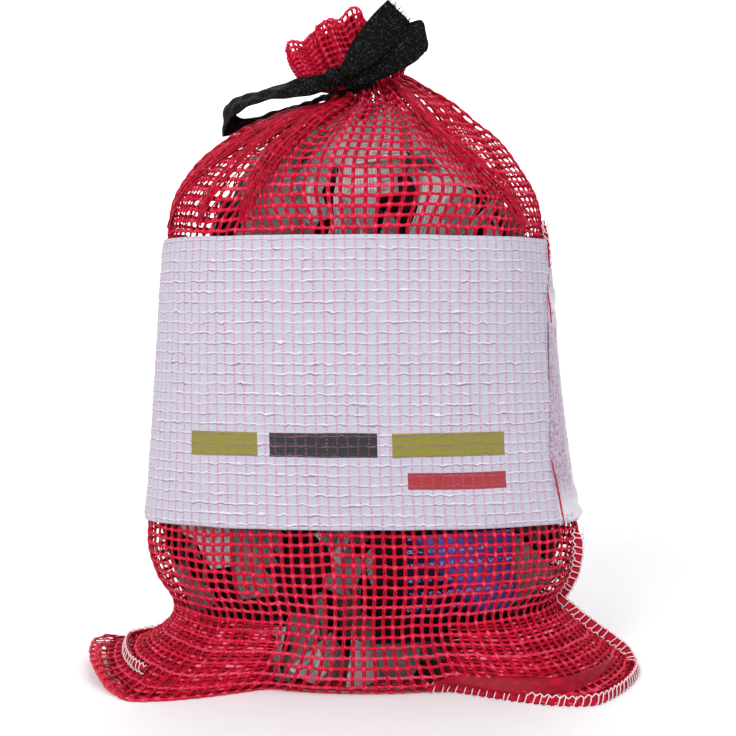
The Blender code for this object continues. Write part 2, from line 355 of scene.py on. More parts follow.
def sweep(centres, outs, section, wide, thick, closed=False, lift=0.0):
    """Sweeps a section along many lines at once.

    centres and outs are lines x points x 3, and wide and thick are half sizes for each
    point. Gives the vertices, the faces, and the place of each face corner along the
    line and round it.
    """
    lines, points, _ = centres.shape
    sides = len(section)
    if closed:
        ahead = np.roll(centres, -1, axis=1)
        behind = np.roll(centres, 1, axis=1)
    else:
        ahead = np.concatenate((centres[:, 1:], centres[:, -1:]), axis=1)
        behind = np.concatenate((centres[:, :1], centres[:, :-1]), axis=1)
    along = unit(ahead - behind)
    across = unit(np.cross(along, outs))
    up = np.cross(across, along)
    wide = np.broadcast_to(wide, (lines, points))[..., None, None]
    thick = np.broadcast_to(thick, (lines, points))[..., None, None]
    rings = (
        centres[:, :, None]
        + across[:, :, None] * wide * section[:, :1]
        + up[:, :, None] * (thick * section[:, 1:] + lift)
    )
    number = np.arange(lines * points * sides).reshape(lines, points, sides)
    after = np.roll(number, -1, axis=1) if closed else number[:, 1:]
    here = number if closed else number[:, :-1]
    faces = np.stack(
        (here, after, np.roll(after, -1, axis=2), np.roll(here, -1, axis=2)), axis=-1
    ).reshape(-1, 4)
    steps = np.linalg.norm(ahead - centres, axis=-1)
    length = np.cumsum(steps, axis=1) - steps
    spans = here.shape[1]
    start = length[:, :spans, None]
    side = np.arange(sides)[None, None, :] / sides
    uv = cell_uv(start, side, start + steps[:, :spans, None], side + 1 / sides)
    return rings.reshape(-1, 3), faces, uv


def close_ends(faces, uv, lines, points, sides):
    """Adds faces over both ends of open lines with an even number of sides."""
    first = (np.arange(lines) * points * sides)[:, None]
    last = first + (points - 1) * sides
    caps = []
    for i in range(sides // 2 - 1):
        ring = np.array((i, i + 1, sides - 2 - i, sides - 1 - i))
        caps += [first + ring, last + ring[::-1]]
    caps = np.vstack(caps)
    return np.vstack((faces, caps)), np.vstack((uv, np.zeros((caps.size, 2))))


def swept(name, centres, outs, section, wide, thick, finish, tone=None, lift=0.0):
    """Open lines with a section swept along them and their ends closed, as an object."""
    verts, faces, uv = sweep(centres, outs, section, wide, thick, False, lift)
    faces, uv = close_ends(faces, uv, *centres.shape[:2], len(section))
    return mesh_object(name, verts, faces, finish, uv, tone)


# Helpers for materials


def linear(colour):
    """An sRGB hex colour as linear RGBA."""
    parts = [int(colour[i:i + 2], 16) / 255 for i in (1, 3, 5)]
    light = [p / 12.92 if p <= 0.04045 else ((p + 0.055) / 1.055) ** 2.4 for p in parts]
    return (*light, 1.0)


def feed(tree, node, inputs):
    """Gives each input its value, or links the node or socket that feeds it."""
    for name, value in inputs.items():
        if isinstance(value, bpy.types.Node):
            value = value.outputs[0]
        if isinstance(value, bpy.types.NodeSocket):
            tree.links.new(value, node.inputs[name])
        else:
            node.inputs[name].default_value = value


def add(tree, kind, inputs=None, stops=(), **settings):
    """Adds a node with its settings, its inputs and the stops of its ramp."""
    made = tree.nodes.new("ShaderNode" + kind)
    for name, value in settings.items():
        setattr(made, name, value)
    for number, (position, colour) in enumerate(stops):
        elements = made.color_ramp.elements
        stop = elements[number] if number < 2 else elements.new(position)
        stop.position = position
        stop.color = colour
    feed(tree, made, inputs or {})
    return made


def new_material(name, roughness, ior, specular=0.5):
    """A material, with its tree, its shader, its object place and its UV place."""
    made = bpy.data.materials.new(name)
    made.use_nodes = True
    tree = made.node_tree
    shader = tree.nodes["Principled BSDF"]
    feed(tree, shader, {"Roughness": roughness, "IOR": ior, "Specular IOR Level": specular})
    place = add(tree, "TexCoord").outputs["Object"]
    uv = add(tree, "SeparateXYZ", {0: add(tree, "UVMap", uv_map="UVMap")})
    return made, tree, shader, place, uv.outputs


def stripes(tree, place, half_pitch, near, far, ease="SMOOTHSTEP", on=1.0, off=0.0):
    """Even lines across a place: on nearer to a line than near, and off beyond far."""
    distance = add(tree, "Math", {0: place, 1: half_pitch}, operation="PINGPONG")
    ends = {"From Min": near, "From Max": far, "To Min": on, "To Max": off}
    return add(tree, "MapRange", {"Value": distance, **ends}, interpolation_type=ease)


def in_box(tree, uv, left, right, bottom, top):
    """1 inside a box of the UV map and 0 outside it."""
    sides = []
    for axis, low, high in (("X", left, right), ("Y", bottom, top)):
        off = add(tree, "Math", {0: uv[axis], 1: (low + high) / 2}, operation="SUBTRACT")
        size = add(tree, "Math", {0: off}, operation="ABSOLUTE")
        sides.append(add(tree, "Math", {0: size, 1: (high - low) / 2}, operation="LESS_THAN"))
    return add(tree, "Math", {0: sides[0], 1: sides[1]}, operation="MULTIPLY")


# Materials


def net_tape():
    """Polypropylene tape, slit, drawn and woven: satin, deep red.

    The tone of each thread differs a little. Its crests are painted pink where the drawn tape catches
    the light, which is a painted highlight, and the wefts are painted lighter on their outer side and
    darker on their inner side, which is painted light and shade.
    """
    made, tree, shader, place, _ = new_material("Polypropylene_tape_woven_red", 0.48, 1.49, 0.14)
    tone = add(tree, "Attribute", attribute_name="tone").outputs["Fac"]
    grain = add(tree, "TexNoise", {"Vector": place, "Scale": 420.0, "Detail": 2.0})
    mixed = add(tree, "Math", {0: grain, 1: 0.35, 2: tone}, operation="MULTIPLY_ADD")
    net = bpy.context.scene.sack_net
    ramp = add(tree, "ValToRGB", {"Fac": mixed}, stops=(
        (0.1, (*net.shade, 1.0)), (0.95, (*net.light, 1.0)), (0.5, (*net.colour, 1.0)),
    ))
    feed(tree, shader, {
        "Base Color": ramp, "Sheen Weight": 0.03, "Sheen Roughness": 0.4,
        "Sheen Tint": linear("#FF7A9C"),
    })
    return made


def folded_net():
    """Polypropylene net, woven and folded on itself several times: dense, dark red, with painted
    shade in a darker red between the threads.

    Lines 3 mm apart stand for the threads of the layers, which cross at a slant.
    """
    made, tree, shader, place, uv = new_material("Polypropylene_net_folded_red", 0.55, 1.49, 0.12)
    drift = add(tree, "TexNoise", {"Vector": place, "Scale": 150.0, "Detail": 3.0})
    shift = add(tree, "Math", {0: drift, 1: 7.0, 2: uv["Y"]}, operation="MULTIPLY_ADD")
    slanting = {}
    for number, slant in enumerate((1.3, -1.3)):
        lean = add(tree, "Math", {0: shift, 1: slant, 2: uv["X"]}, operation="MULTIPLY_ADD")
        slanting[number] = stripes(tree, lean, 1.5, 0.2, 0.95)
    threads = add(tree, "Math", slanting, operation="MAXIMUM")
    colour = (*bpy.context.scene.sack_net.colour, 1.0)
    # Darker red between the lines: painted shade of the layers below.
    ramp = add(
        tree, "ValToRGB", {"Fac": threads}, stops=((0.1, linear("#7A061C")), (0.9, colour))
    )
    bump = add(tree, "Bump", {"Height": threads, "Strength": 0.9, "Distance": 0.0008})
    feed(tree, shader, {"Base Color": ramp, "Normal": bump})
    return made


# Left, right, bottom and top of each bar, in columns from the front and rows from the
# lower edge of the label, with its ink
OLIVE_INK = "#857F23"
BLACK_INK = "#1A1A1A"
RED_INK = "#A01D22"
PRINTED_BARS = (
    (-17.0, -9.8, 6.9, 9.3, OLIVE_INK),
    (-8.6, 1.8, 6.9, 9.3, BLACK_INK),
    (3.2, 14.5, 6.9, 9.3, OLIVE_INK),
    (4.6, 14.5, 3.6, 5.3, RED_INK),
)


def pressed_film():
    """Polyethylene film, blown, printed and heat-pressed on to the net: white and satin.

    The net shows through as mauve lines, dotted where the warp twists, with a pale painted highlight
    along the upper side of each row.
    Plain bars of colour are printed on the front. The UV map counts columns and rows of
    the net, 5.2 mm apart.
    """
    made, tree, shader, place, uv = new_material("Polyethylene_film_pressed_white", 0.42, 1.5)
    label = bpy.context.scene.sack_label
    drift = add(tree, "TexNoise", {"Vector": place, "Scale": 260.0, "Detail": 1.0})
    stray = add(tree, "Math", {0: drift, 1: 0.5, 2: -0.25}, operation="MULTIPLY_ADD")
    row = add(tree, "Math", {0: uv["Y"], 1: stray}, operation="ADD")
    column = add(tree, "Math", {0: stray, 1: 0.5, 2: uv["X"]}, operation="MULTIPLY_ADD")
    # A line just above each row, for the painted highlight.
    above = add(tree, "Math", {0: row, 1: -0.14}, operation="ADD")
    broken = add(tree, "TexNoise", {"Vector": place, "Scale": 170.0, "Detail": 2.0})
    kept = add(tree, "MapRange", {
        "Value": broken, "From Min": 0.4, "From Max": 0.6, "To Min": 0.4, "To Max": 1.0,
    })
    dots = stripes(tree, row, 1.0 / 6.0, 0.03, 0.12, "LINEAR", 0.75, 0.15)
    products = []
    for line, share in (
        (stripes(tree, above, 0.5, 0.02, 0.1), kept),
        (stripes(tree, column, 0.5, 0.03, 0.11), dots),
        (stripes(tree, row, 0.5, 0.02, 0.11), kept),
    ):
        products.append(add(tree, "Math", {0: line, 1: share}, operation="MULTIPLY"))
    crest_highlight, dotted, row_shown = products
    lines = add(tree, "Math", {0: dotted, 1: row_shown}, operation="MAXIMUM")
    patchy = add(
        tree, "TexNoise", {"Vector": place, "Scale": 60.0, "Detail": 4.0, "Roughness": 0.7}
    )
    strength = add(tree, "MapRange", {
        "Value": patchy, "From Min": 0.34, "From Max": 0.66, "To Min": 0.4, "To Max": 1.0,
    })
    shown = add(tree, "Math", {0: lines, 1: strength}, operation="MULTIPLY")
    layers = [
        (stripes(tree, column, 0.5, 0.05, 0.34), linear("#C4AEC4")),
        # Pale pink just above each row: painted highlight.
        (crest_highlight, linear("#E4DDE8")),
    ]
    layers += [(in_box(tree, uv, *bar), linear(ink)) for *bar, ink in PRINTED_BARS]
    layers.append((shown, (*label.thread, 1.0)))
    colour = (*label.colour, 1.0)
    for factor, ink in layers:
        inputs = {"Factor": factor, 6: colour, 7: ink}
        colour = add(tree, "Mix", inputs, data_type="RGBA").outputs[2]
    crease = add(
        tree, "TexNoise", {"Vector": place, "Scale": 620.0, "Detail": 4.0, "Roughness": 0.65}
    )
    relief = add(tree, "Math", {0: crease, 1: 1.1, 2: crest_highlight}, operation="MULTIPLY_ADD")
    bump = add(tree, "Bump", {"Height": relief, "Strength": 0.55, "Distance": 0.0005})
    feed(tree, shader, {"Base Color": colour, "Normal": bump})
    return made


def newsprint():
    """Newsprint, groundwood paper, printed and crumpled: matt grey-white with grey print.

    Lines of print are 2.4 mm apart and columns 38 mm wide; their letters are only broken dashes. Each
    sheet's tone darkens it towards near black, partly as greyer print that differs from sheet to
    sheet and partly as painted shade, which makes the sheets low on the sack darker and darkest on
    its right.
    """
    made, tree, shader, _, uv = new_material("Newsprint_paper_crumpled", 0.85, 1.45, 0.25)
    page = add(tree, "CombineXYZ", {"X": uv["X"], "Y": uv["Y"]})
    line_number = add(tree, "Math", {0: uv["Y"], 1: 2.4}, operation="SNAP")
    words_at = add(tree, "CombineXYZ", {"X": uv["X"], "Y": line_number})
    words = add(tree, "TexNoise", {"Vector": words_at, "Scale": 0.55, "Detail": 2.0})
    word_ink = add(tree, "MapRange", {"Value": words, "From Min": 0.42, "From Max": 0.5})
    strokes = add(tree, "TexNoise", {"Vector": page, "Scale": 0.32, "Detail": 1.0})
    stroke_ink = add(tree, "MapRange", {"Value": strokes, "From Min": 0.5, "From Max": 0.53})
    blocks = add(
        tree, "TexVoronoi", {"Vector": page, "Scale": 0.022, "Randomness": 0.6},
        distance="CHEBYCHEV",
    )
    kind = add(tree, "SeparateColor", {0: blocks.outputs["Color"]})
    text_block = add(tree, "Math", {0: kind, 1: 0.25}, operation="GREATER_THAN")
    headline_block = add(tree, "Math", {0: kind, 1: 0.12}, operation="LESS_THAN")
    inks = {}
    for number, (ink, *factors) in enumerate((
        (
            stripes(tree, uv["Y"], 1.2, 0.25, 0.7), word_ink,
            stripes(tree, uv["X"], 19.0, 1.6, 2.0, "LINEAR", 0.0, 1.0), text_block,
        ),
        (stripes(tree, uv["Y"], 5.5, 2.2, 2.5), stroke_ink, headline_block),
    )):
        for factor in factors:
            ink = add(tree, "Math", {0: ink, 1: factor}, operation="MULTIPLY")
        inks[number] = ink
    ink = add(tree, "Math", inks, operation="MAXIMUM")
    strength = add(tree, "Math", {0: ink, 1: 0.55}, operation="MULTIPLY")
    fibres = add(tree, "TexNoise", {"Vector": page, "Scale": 0.9, "Detail": 4.0})
    settings = bpy.context.scene.sack_paper
    # Greyer where the fibre noise is low, the same noise that gives the paper its bump.
    colour = add(tree, "ValToRGB", {"Fac": fibres}, stops=(
        (0.0, (*settings.shade, 1.0)), (1.0, (*settings.colour, 1.0)),
    ))
    tone = add(tree, "Attribute", attribute_name="tone").outputs["Fac"]
    # Tone towards near black: grey print that differs from sheet to sheet, and painted shade.
    inputs = {"Factor": tone, 6: linear("#150E10"), 7: colour}
    toned = add(tree, "Mix", inputs, data_type="RGBA").outputs[2]
    inputs = {"Factor": strength, 6: toned, 7: linear("#2E2829")}
    printed = add(tree, "Mix", inputs, data_type="RGBA").outputs[2]
    bump = add(tree, "Bump", {"Height": fibres, "Strength": 0.15, "Distance": 0.0003})
    feed(tree, shader, {"Base Color": printed, "Normal": bump})
    return made


def dark_print():
    """Newsprint inked nearly black all over, with a violet panel and rows of light marks.

    The UV map is in millimetres from the middle of the sheet. The violet of the panel is painted
    light and shade: painted shade in dark violet on one side of a slanting line, painted light along
    a slanting band beside it, fading further on.
    """
    made, tree, shader, _, uv = new_material("Newsprint_paper_dark_print", 0.6, 1.45, 0.08)
    # Painted light and shade across the panel, divided by a slanting line.
    slant = add(tree, "Math", {0: uv["Y"], 1: 0.9, 2: uv["X"]}, operation="MULTIPLY_ADD")
    lit = add(tree, "MapRange", {"Value": slant, "From Min": 2.0, "From Max": 12.0})
    fading = add(tree, "MapRange", {
        "Value": slant, "From Min": 22.0, "From Max": 38.0, "To Min": 1.0, "To Max": 0.45,
    })
    share = add(tree, "Math", {0: lit, 1: fading}, operation="MULTIPLY")
    page = add(tree, "CombineXYZ", {"X": uv["X"], "Y": uv["Y"]})
    marks = add(tree, "TexNoise", {"Vector": page, "Scale": 0.5, "Detail": 2.0})
    mark_ink = add(tree, "MapRange", {"Value": marks, "From Min": 0.47, "From Max": 0.52})
    line_ink = stripes(tree, uv["Y"], 3.6, 0.7, 1.2)
    marked = add(tree, "Math", {0: line_ink, 1: mark_ink}, operation="MULTIPLY")
    # Dark violet is painted shade and light violet is painted light.
    inputs = {"Factor": share, 6: linear("#1A0A2B"), 7: linear("#544A98")}
    violet = add(tree, "Mix", inputs, data_type="RGBA").outputs[2]
    inputs = {"Factor": marked, 6: violet, 7: linear("#8284BE")}
    panel = add(tree, "Mix", inputs, data_type="RGBA").outputs[2]
    in_panel = in_box(tree, uv, -22.0, 46.0, -19.0, 23.0)
    inputs = {"Factor": in_panel, 6: linear("#080405"), 7: panel}
    sheet = add(tree, "Mix", inputs, data_type="RGBA").outputs[2]
    feed(tree, shader, {"Base Color": sheet})
    return made


def deep_paper():
    """Crumpled newsprint deep inside the sack, coloured near black as painted shade: only a dim brown
    shows between the folds.
    """
    made, tree, shader, place, _ = new_material("Newsprint_paper_in_shade", 0.95, 1.45, 0.05)
    folds = add(tree, "TexNoise", {"Vector": place, "Scale": 60.0, "Detail": 3.0})
    ends = ((0.35, linear("#0E0809")), (0.7, linear("#3A2A2B")))
    feed(tree, shader, {"Base Color": add(tree, "ValToRGB", {"Fac": folds}, stops=ends)})
    return made


def ribbon_weave():
    """Polyester ribbon, woven with a crepe face: black and dry, with a pale speckle of painted sheen
    on the high points of the crepe.

    The speckle is 0.9 mm across, which is coarser than the real weave so that it shows.
    """
    made, tree, shader, place, uv = new_material("Polyester_ribbon_woven_black", 0.62, 1.5, 0.08)
    rib = add(tree, "Math", {0: uv["X"], 1: 0.45}, operation="PINGPONG")
    warp = add(tree, "Math", {0: uv["Y"], 1: 0.012}, operation="PINGPONG")
    weave = add(tree, "Math", {0: warp, 1: 25.0, 2: rib}, operation="MULTIPLY_ADD")
    crepe = add(tree, "TexNoise", {"Vector": place, "Scale": 1100.0, "Detail": 1.0})
    height = add(tree, "Math", {0: crepe, 1: 1.2, 2: weave}, operation="MULTIPLY_ADD")
    plain = (*bpy.context.scene.sack_ribbon.colour, 1.0)
    # Pale where the crepe stands highest: painted sheen.
    ends = ((0.56, plain), (0.74, linear("#3E3B3C")))
    colour = add(tree, "ValToRGB", {"Fac": crepe}, stops=ends)
    bump = add(tree, "Bump", {"Height": height, "Strength": 0.7, "Distance": 0.0004})
    feed(tree, shader, {"Base Color": colour, "Normal": bump})
    return made


def sewing_thread():
    """Polyester thread, spun and twisted: white, with a painted pink reflection of the red net round
    it in narrow bands along the twist.
    """
    made, tree, shader, _, uv = new_material("Polyester_thread_spun_white", 0.6, 1.5)
    turn = add(tree, "Math", {0: uv["X"], 1: 2.0, 2: uv["Y"]}, operation="MULTIPLY_ADD")
    ply = add(tree, "Math", {0: turn, 1: 0.5}, operation="PINGPONG")
    # Pink bands along the twist: painted reflection of the red net.
    ends = ((0.0, linear("#D9AEBB")), (0.3, linear("#F3E6EA")))
    feed(tree, shader, {"Base Color": add(tree, "ValToRGB", {"Fac": ply}, stops=ends)})
    return made


def plain_board():
    """Card, smooth and matt, for the floor under the sack and the wall behind it."""
    made, tree, shader, place, _ = new_material("Card_matt_pale", 0.8, 1.45)
    grain = add(tree, "TexNoise", {"Vector": place, "Scale": 40.0, "Detail": 2.0})
    ends = ((0.0, linear("#EDEDEE")), (1.0, linear("#F2F2F3")))
    feed(tree, shader, {"Base Color": add(tree, "ValToRGB", {"Fac": grain}, stops=ends)})
    return made


def crinkled_film():
    """Polyethylene film, blown, folded into the seam and crinkled: glossy.

    It is white where it stands free, and pinker where the net lies right under it. Where it is pink,
    its crinkles are darker in their hollows, which is painted shade.
    """
    made, tree, shader, place, _ = new_material("Polyethylene_film_crinkled_white", 0.32, 1.5)
    crinkle = add(
        tree, "TexNoise", {"Vector": place, "Scale": 560.0, "Detail": 3.0, "Roughness": 0.6}
    )
    # Darker mauve in the hollows of the crinkles, which the same noise bumps: painted shade.
    ends = ((0.36, linear("#96718C")), (0.58, linear("#C4B4C6")))
    pink = add(tree, "ValToRGB", {"Fac": crinkle}, stops=ends)
    tone = add(tree, "Attribute", attribute_name="tone").outputs["Fac"]
    inputs = {"Factor": tone, 6: pink, 7: linear("#E2DDE6")}
    colour = add(tree, "Mix", inputs, data_type="RGBA").outputs[2]
    bump = add(tree, "Bump", {"Height": crinkle, "Strength": 0.9, "Distance": 0.0018})
    feed(tree, shader, {"Base Color": colour, "Normal": bump})
    return made


# The net


PITCH = 5.2  # from thread to thread
COLUMNS = 108
RUFFLE_ROWS = 10
BASE_ROWS = 6
SEAM_Y = -44.0  # the bottom seam crosses the base here
RING_POINTS = 1440  # points that a ring is measured with
NET_DEPTH = 0.6  # the middle of the threads under the sack's surface
RIGHT_LOBE = 11.0  # the gathered net bulges over the tie on the right
LOBE_TURN = math.radians(-15.0)
CREASE_START = 248.0
CREASE_DEPTH = 2.6
TIP_LIFT = 8.0  # the underside of the left corner's tip curls up by this much
TIP_TOP = 17.0
NET_STEPS = 3  # points from one crossing to the next
WEFT_SIDES = 5
WARP_SIDES = 4
WEFT_HALF = 1.05
WARP_HALF = 0.68
WARP_APART = 0.58
WARP_LIFT = 0.5

# Angle in degrees at the label and at the neck, half-width in degrees, crowding
FOLD_LINES = (
    (-131.0, -124.0, 5.5, 2.6),
    (-22.0, -62.0, 8.0, 2.2),
    (-160.0, -150.0, 5.0, 1.5),
    (60.0, 75.0, 6.0, 2.0),
    (140.0, 120.0, 6.0, 2.2),
    (100.0, 96.0, 4.0, 1.2),
)


def crowding(angle, height):
    """How closely the warps lie beside each other, 1 where nothing draws them together."""
    rise = smooth_step((height - BAND_TOP) / 30.0)
    way = np.clip((height - BAND_TOP) / (NECK_HEIGHT - BAND_TOP), 0.0, 1.0)
    density = 1.0
    for low, high, half, more in FOLD_LINES:
        off = angle_off(angle, np.radians(low + (high - low) * way))
        density = density + rise * more * np.exp(-((off / math.radians(half)) ** 2))
    return density


def ring_angles(height, columns):
    """Angles at which the warps cross one ring, from the front and round to it again."""
    dense = FRONT + TURN * np.arange(RING_POINTS + 1) / RING_POINTS
    middle = (dense[1:] + dense[:-1]) / 2
    length = lengths_along(sack_point(dense, height), crowding(middle, height))
    return np.interp(length[-1] * np.arange(columns) / columns, length, dense)


def row_heights():
    """Heights at which the wefts cross the front of the sack, from floor to neck."""
    dense = np.linspace(0.0, NECK_HEIGHT, 2000)
    length = lengths_along(sack_point(FRONT, dense))
    count = int(round(length[-1] / PITCH))
    return np.interp(length[-1] * np.arange(count + 1) / count, length, dense)


def seam_line(points):
    """Where each warp meets the bottom seam, under the base."""
    line = points.copy()
    ends = np.clip(np.abs(points[:, 0]) / 140.0, 0.0, 1.0) ** 2
    line[:, 0] *= 1.0 - 0.1 * ends
    line[:, 1] = SEAM_Y - 14.0 * ends
    line[:, 2] = CLEAR_OF_FLOOR
    return line


def net_rows():
    """The crossings of the net, rows from the bottom seam up to the rim, and row heights."""
    heights = row_heights()
    angles = [ring_angles(h, COLUMNS) for h in heights]
    rows = [sack_point(a, h, -NET_DEPTH) for a, h in zip(angles, heights)]
    floor = rows[0]
    floor[:, 2] = np.maximum(floor[:, 2], CLEAR_OF_FLOOR)
    seam = seam_line(floor)
    base = [seam + (floor - seam) * (i / BASE_ROWS) for i in range(BASE_ROWS)]
    lobe = RIGHT_LOBE * np.exp(-((angle_off(angles[-1], LOBE_TURN) / 0.7) ** 2))
    rim = []
    for i in range(RUFFLE_ROWS):
        share = (i + 1) / RUFFLE_ROWS
        ring = ruffle_point(angles[-1], share)
        ring[:, 0] += lobe * math.sin(math.pi * min(1.0, share / 0.8))
        rim.append(ring)
    grid = np.array((*base, *rows, *rim))
    grid[..., 2] = np.maximum(grid[..., 2], CLEAR_OF_FLOOR)
    return grid, heights


def outward(grid):
    """Directions out of the net at its crossings."""
    round_it = np.roll(grid, -1, axis=1) - np.roll(grid, 1, axis=1)
    return unit(np.cross(round_it, np.gradient(grid, axis=0)))


def slack(grid, random):
    """Lets the crossings stray a little, as in a net that was stuffed and handled."""
    outs = outward(grid)
    round_it = unit(np.roll(grid, -1, axis=1) - np.roll(grid, 1, axis=1))
    upwards = unit(np.gradient(grid, axis=0))
    shape = grid.shape[:2]
    free = smooth_step((np.arange(shape[0]) - BASE_ROWS) / 4.0)[:, None, None]
    pitch = np.linalg.norm(np.roll(grid, -1, axis=1) - grid, axis=-1, keepdims=True)
    room = np.clip(pitch / PITCH, 0.0, 1.0)
    for way, reach, far, share in (
        (upwards, 5.0, 1.1, free), (round_it, 5.0, 1.1, free * room),
        (round_it, 1.5, 0.25, free * room),
    ):
        grid = grid + way * soft_noise(random, shape, reach)[..., None] * far * share
    return grid - outs * np.abs(soft_noise(random, shape, 8.0))[..., None] * 1.2 * free


def gathers(grid, heights, random):
    """Creases that run down from the neck, and the crumpled ruffle above it."""
    rows, columns = grid.shape[:2]
    level = np.concatenate((
        np.zeros(BASE_ROWS), heights, np.full(RUFFLE_ROWS, NECK_HEIGHT),
    ))
    near = smooth_step((level - CREASE_START) / (NECK_HEIGHT - CREASE_START))
    column = np.arange(columns) / columns * 2 * math.pi
    creases = np.zeros((rows, columns))
    for number, phase, weight in ((17, 0.3, 1.0), (23, 1.9, 0.8), (29, 4.0, 0.6)):
        drift = soft_noise(random, (rows, columns), 14.0) * 1.2
        creases += weight * (1.0 - np.abs(np.sin((number * column + phase + drift) / 2.0)) * 2)
    inwards = (creases / 2.4 - 1.0) * CREASE_DEPTH * near[:, None]
    return grid + outward(grid) * inwards[..., None]


def tip_lift(points):
    """How far the tip of the left corner is curled up, at each point."""
    near = smooth_step((-120.0 - points[..., 0]) / 30.0)
    return TIP_LIFT * near**2 * np.clip(1.0 - points[..., 2] / TIP_TOP, 0.0, 1.0)


def woven_net():
    """Crossings of the finished net, the directions out of it and its rows' heights."""
    random = np.random.default_rng(7)
    grid, heights = net_rows()
    grid = gathers(slack(grid, random), heights, random)
    grid[..., 2] += tip_lift(grid)
    grid[..., 2] = np.maximum(grid[..., 2], CLEAR_OF_FLOOR)
    return grid, outward(grid), heights


def weave_wefts(grid, outs, finish, random):
    """The threads that go round the sack, one closed loop for each row."""
    dense = between(grid, NET_STEPS, 1, True)
    facing = unit(between(outs, NET_STEPS, 1, True))
    count, points = dense.shape[:2]
    crossing = np.cos(2 * math.pi * (np.arange(points) / NET_STEPS))
    ahead = np.roll(dense, -1, axis=1)
    room = np.clip(np.linalg.norm(ahead - dense, axis=-1) * NET_STEPS / PITCH, 0.15, 1.0)
    upwards = unit(np.cross(facing, ahead - np.roll(dense, 1, axis=1)))
    sway = soft_noise(random, (count, points), 2.5) * 0.5 + 0.12 * crossing
    dense = dense + upwards * (sway * room)[..., None]
    wide = WEFT_HALF * (1.0 + 0.34 * crossing) * (0.75 + 0.25 * room)
    wide = wide * (1.0 + 0.15 * soft_noise(random, (count, points), 4.0))
    section = round_section(WEFT_SIDES)
    verts, faces, uv = sweep(dense, facing, section, wide, 0.34 + 0.08 * crossing, True)
    tone = 0.2 + 0.06 * random.standard_normal(count).repeat(points * WEFT_SIDES)
    # Pink at each crossing: painted highlight.
    crest_highlight = 0.28 * np.maximum(0.0, crossing) ** 2
    tone = tone + np.tile(crest_highlight.repeat(WEFT_SIDES), count)
    # Lighter on the outer side of each thread and darker on its inner side: painted light and shade.
    tone = tone + np.tile(section[:, 1] * 0.12, count * points)
    return mesh_object("net_wefts", verts, faces, finish, uv, tone)


def weave_warps(name, grid, outs, finish, random):
    """The threads that run up the sack, a pair for each column, twisted at each weft."""
    dense = between(np.moveaxis(grid, 0, 1), NET_STEPS, 1, False)
    facing = unit(between(np.moveaxis(outs, 0, 1), NET_STEPS, 1, False))
    count, points = dense.shape[:2]
    cell = np.arange(points) / NET_STEPS
    crossing = np.cos(2 * math.pi * cell)
    beside = unit(np.cross(facing, np.gradient(dense, axis=1)))
    gap = np.linalg.norm(np.roll(dense, -1, axis=0) - dense, axis=-1)
    room = np.clip(gap / PITCH, 0.25, 1.0)
    strands = []
    for sign in (1.0, -1.0):
        swing = sign * np.sin(math.pi * cell) * WARP_APART
        lift = sign * np.cos(math.pi * cell) * WARP_LIFT
        strands.append(dense + beside * (swing * room)[..., None] + facing * lift[:, None])
    wide = WARP_HALF * (1.0 + 0.45 * crossing) * (0.6 + 0.4 * room)
    tone = 0.16 + 0.06 * random.standard_normal(2 * count).repeat(points * WARP_SIDES)
    # Pink at each crossing: painted highlight.
    crest_highlight = 0.3 * np.maximum(0.0, crossing) ** 2
    return swept(
        name, np.concatenate(strands), np.concatenate((facing, facing)),
        round_section(WARP_SIDES), np.concatenate((wide, wide)), 0.3, finish,
        tone + np.tile(crest_highlight.repeat(WARP_SIDES), 2 * count),
    )


FOLD_INSET = {"left": -2.4, "right": -3.4}
FOLD_TOP = {"left": 26.0, "right": 20.0}
LAYER_STEP = 1.6  # from one row of the folded net's UV map to the next


def corner_fold(side, finish):
    """The folded net inside one corner of the base, which makes the corner look dense."""
    turn = EAR_MIDDLE[side] + np.linspace(-EAR_SPAN, EAR_SPAN, 60)
    rings = []
    for height in np.linspace(2.2, FOLD_TOP[side], 18):
        outer = sack_point(turn, height, FOLD_INSET[side])
        if side == "left":
            outer[:, 2] += tip_lift(outer)
        inner = sack_point(turn[::-1], height, FOLD_INSET[side] - 3.0, 0.0)
        rings.append(np.vstack((outer, inner)))
    rows, columns = len(rings), 2 * len(turn)
    walls = grid_faces(rows, columns, columns_closed=True)
    strip = np.arange(columns // 2 - 1)
    lower = np.stack((strip, columns - 1 - strip, columns - 2 - strip, strip + 1), axis=-1)
    upper = (lower + (rows - 1) * columns)[:, ::-1]
    faces = np.vstack((walls, lower, upper))
    points = np.vstack(rings)
    up = np.repeat(np.arange(rows) * LAYER_STEP, columns)
    uv = np.stack((points[:, 0] + points[:, 1], up), axis=-1)[faces.ravel()]
    return mesh_object("corner_fold_" + side, points, faces, finish, uv)


# Angle in degrees at the label and at the neck, half-width in mm at each
PLEATS = (
    (-133.0, -121.0, 3.2, 6.5),
    (-24.0, -58.0, 4.2, 6.0),
    (-168.0, -146.0, 3.4, 6.0),
    (-150.0, -135.0, 2.6, 5.0),
    (118.0, 106.0, 3.0, 6.0),
    (20.0, 10.0, 4.0, 6.0),
)
PLEAT_THREADS = 8
PLEAT_POINTS = 72
PLEAT_LOW = 234.0
LOOSE_SIDES = 5


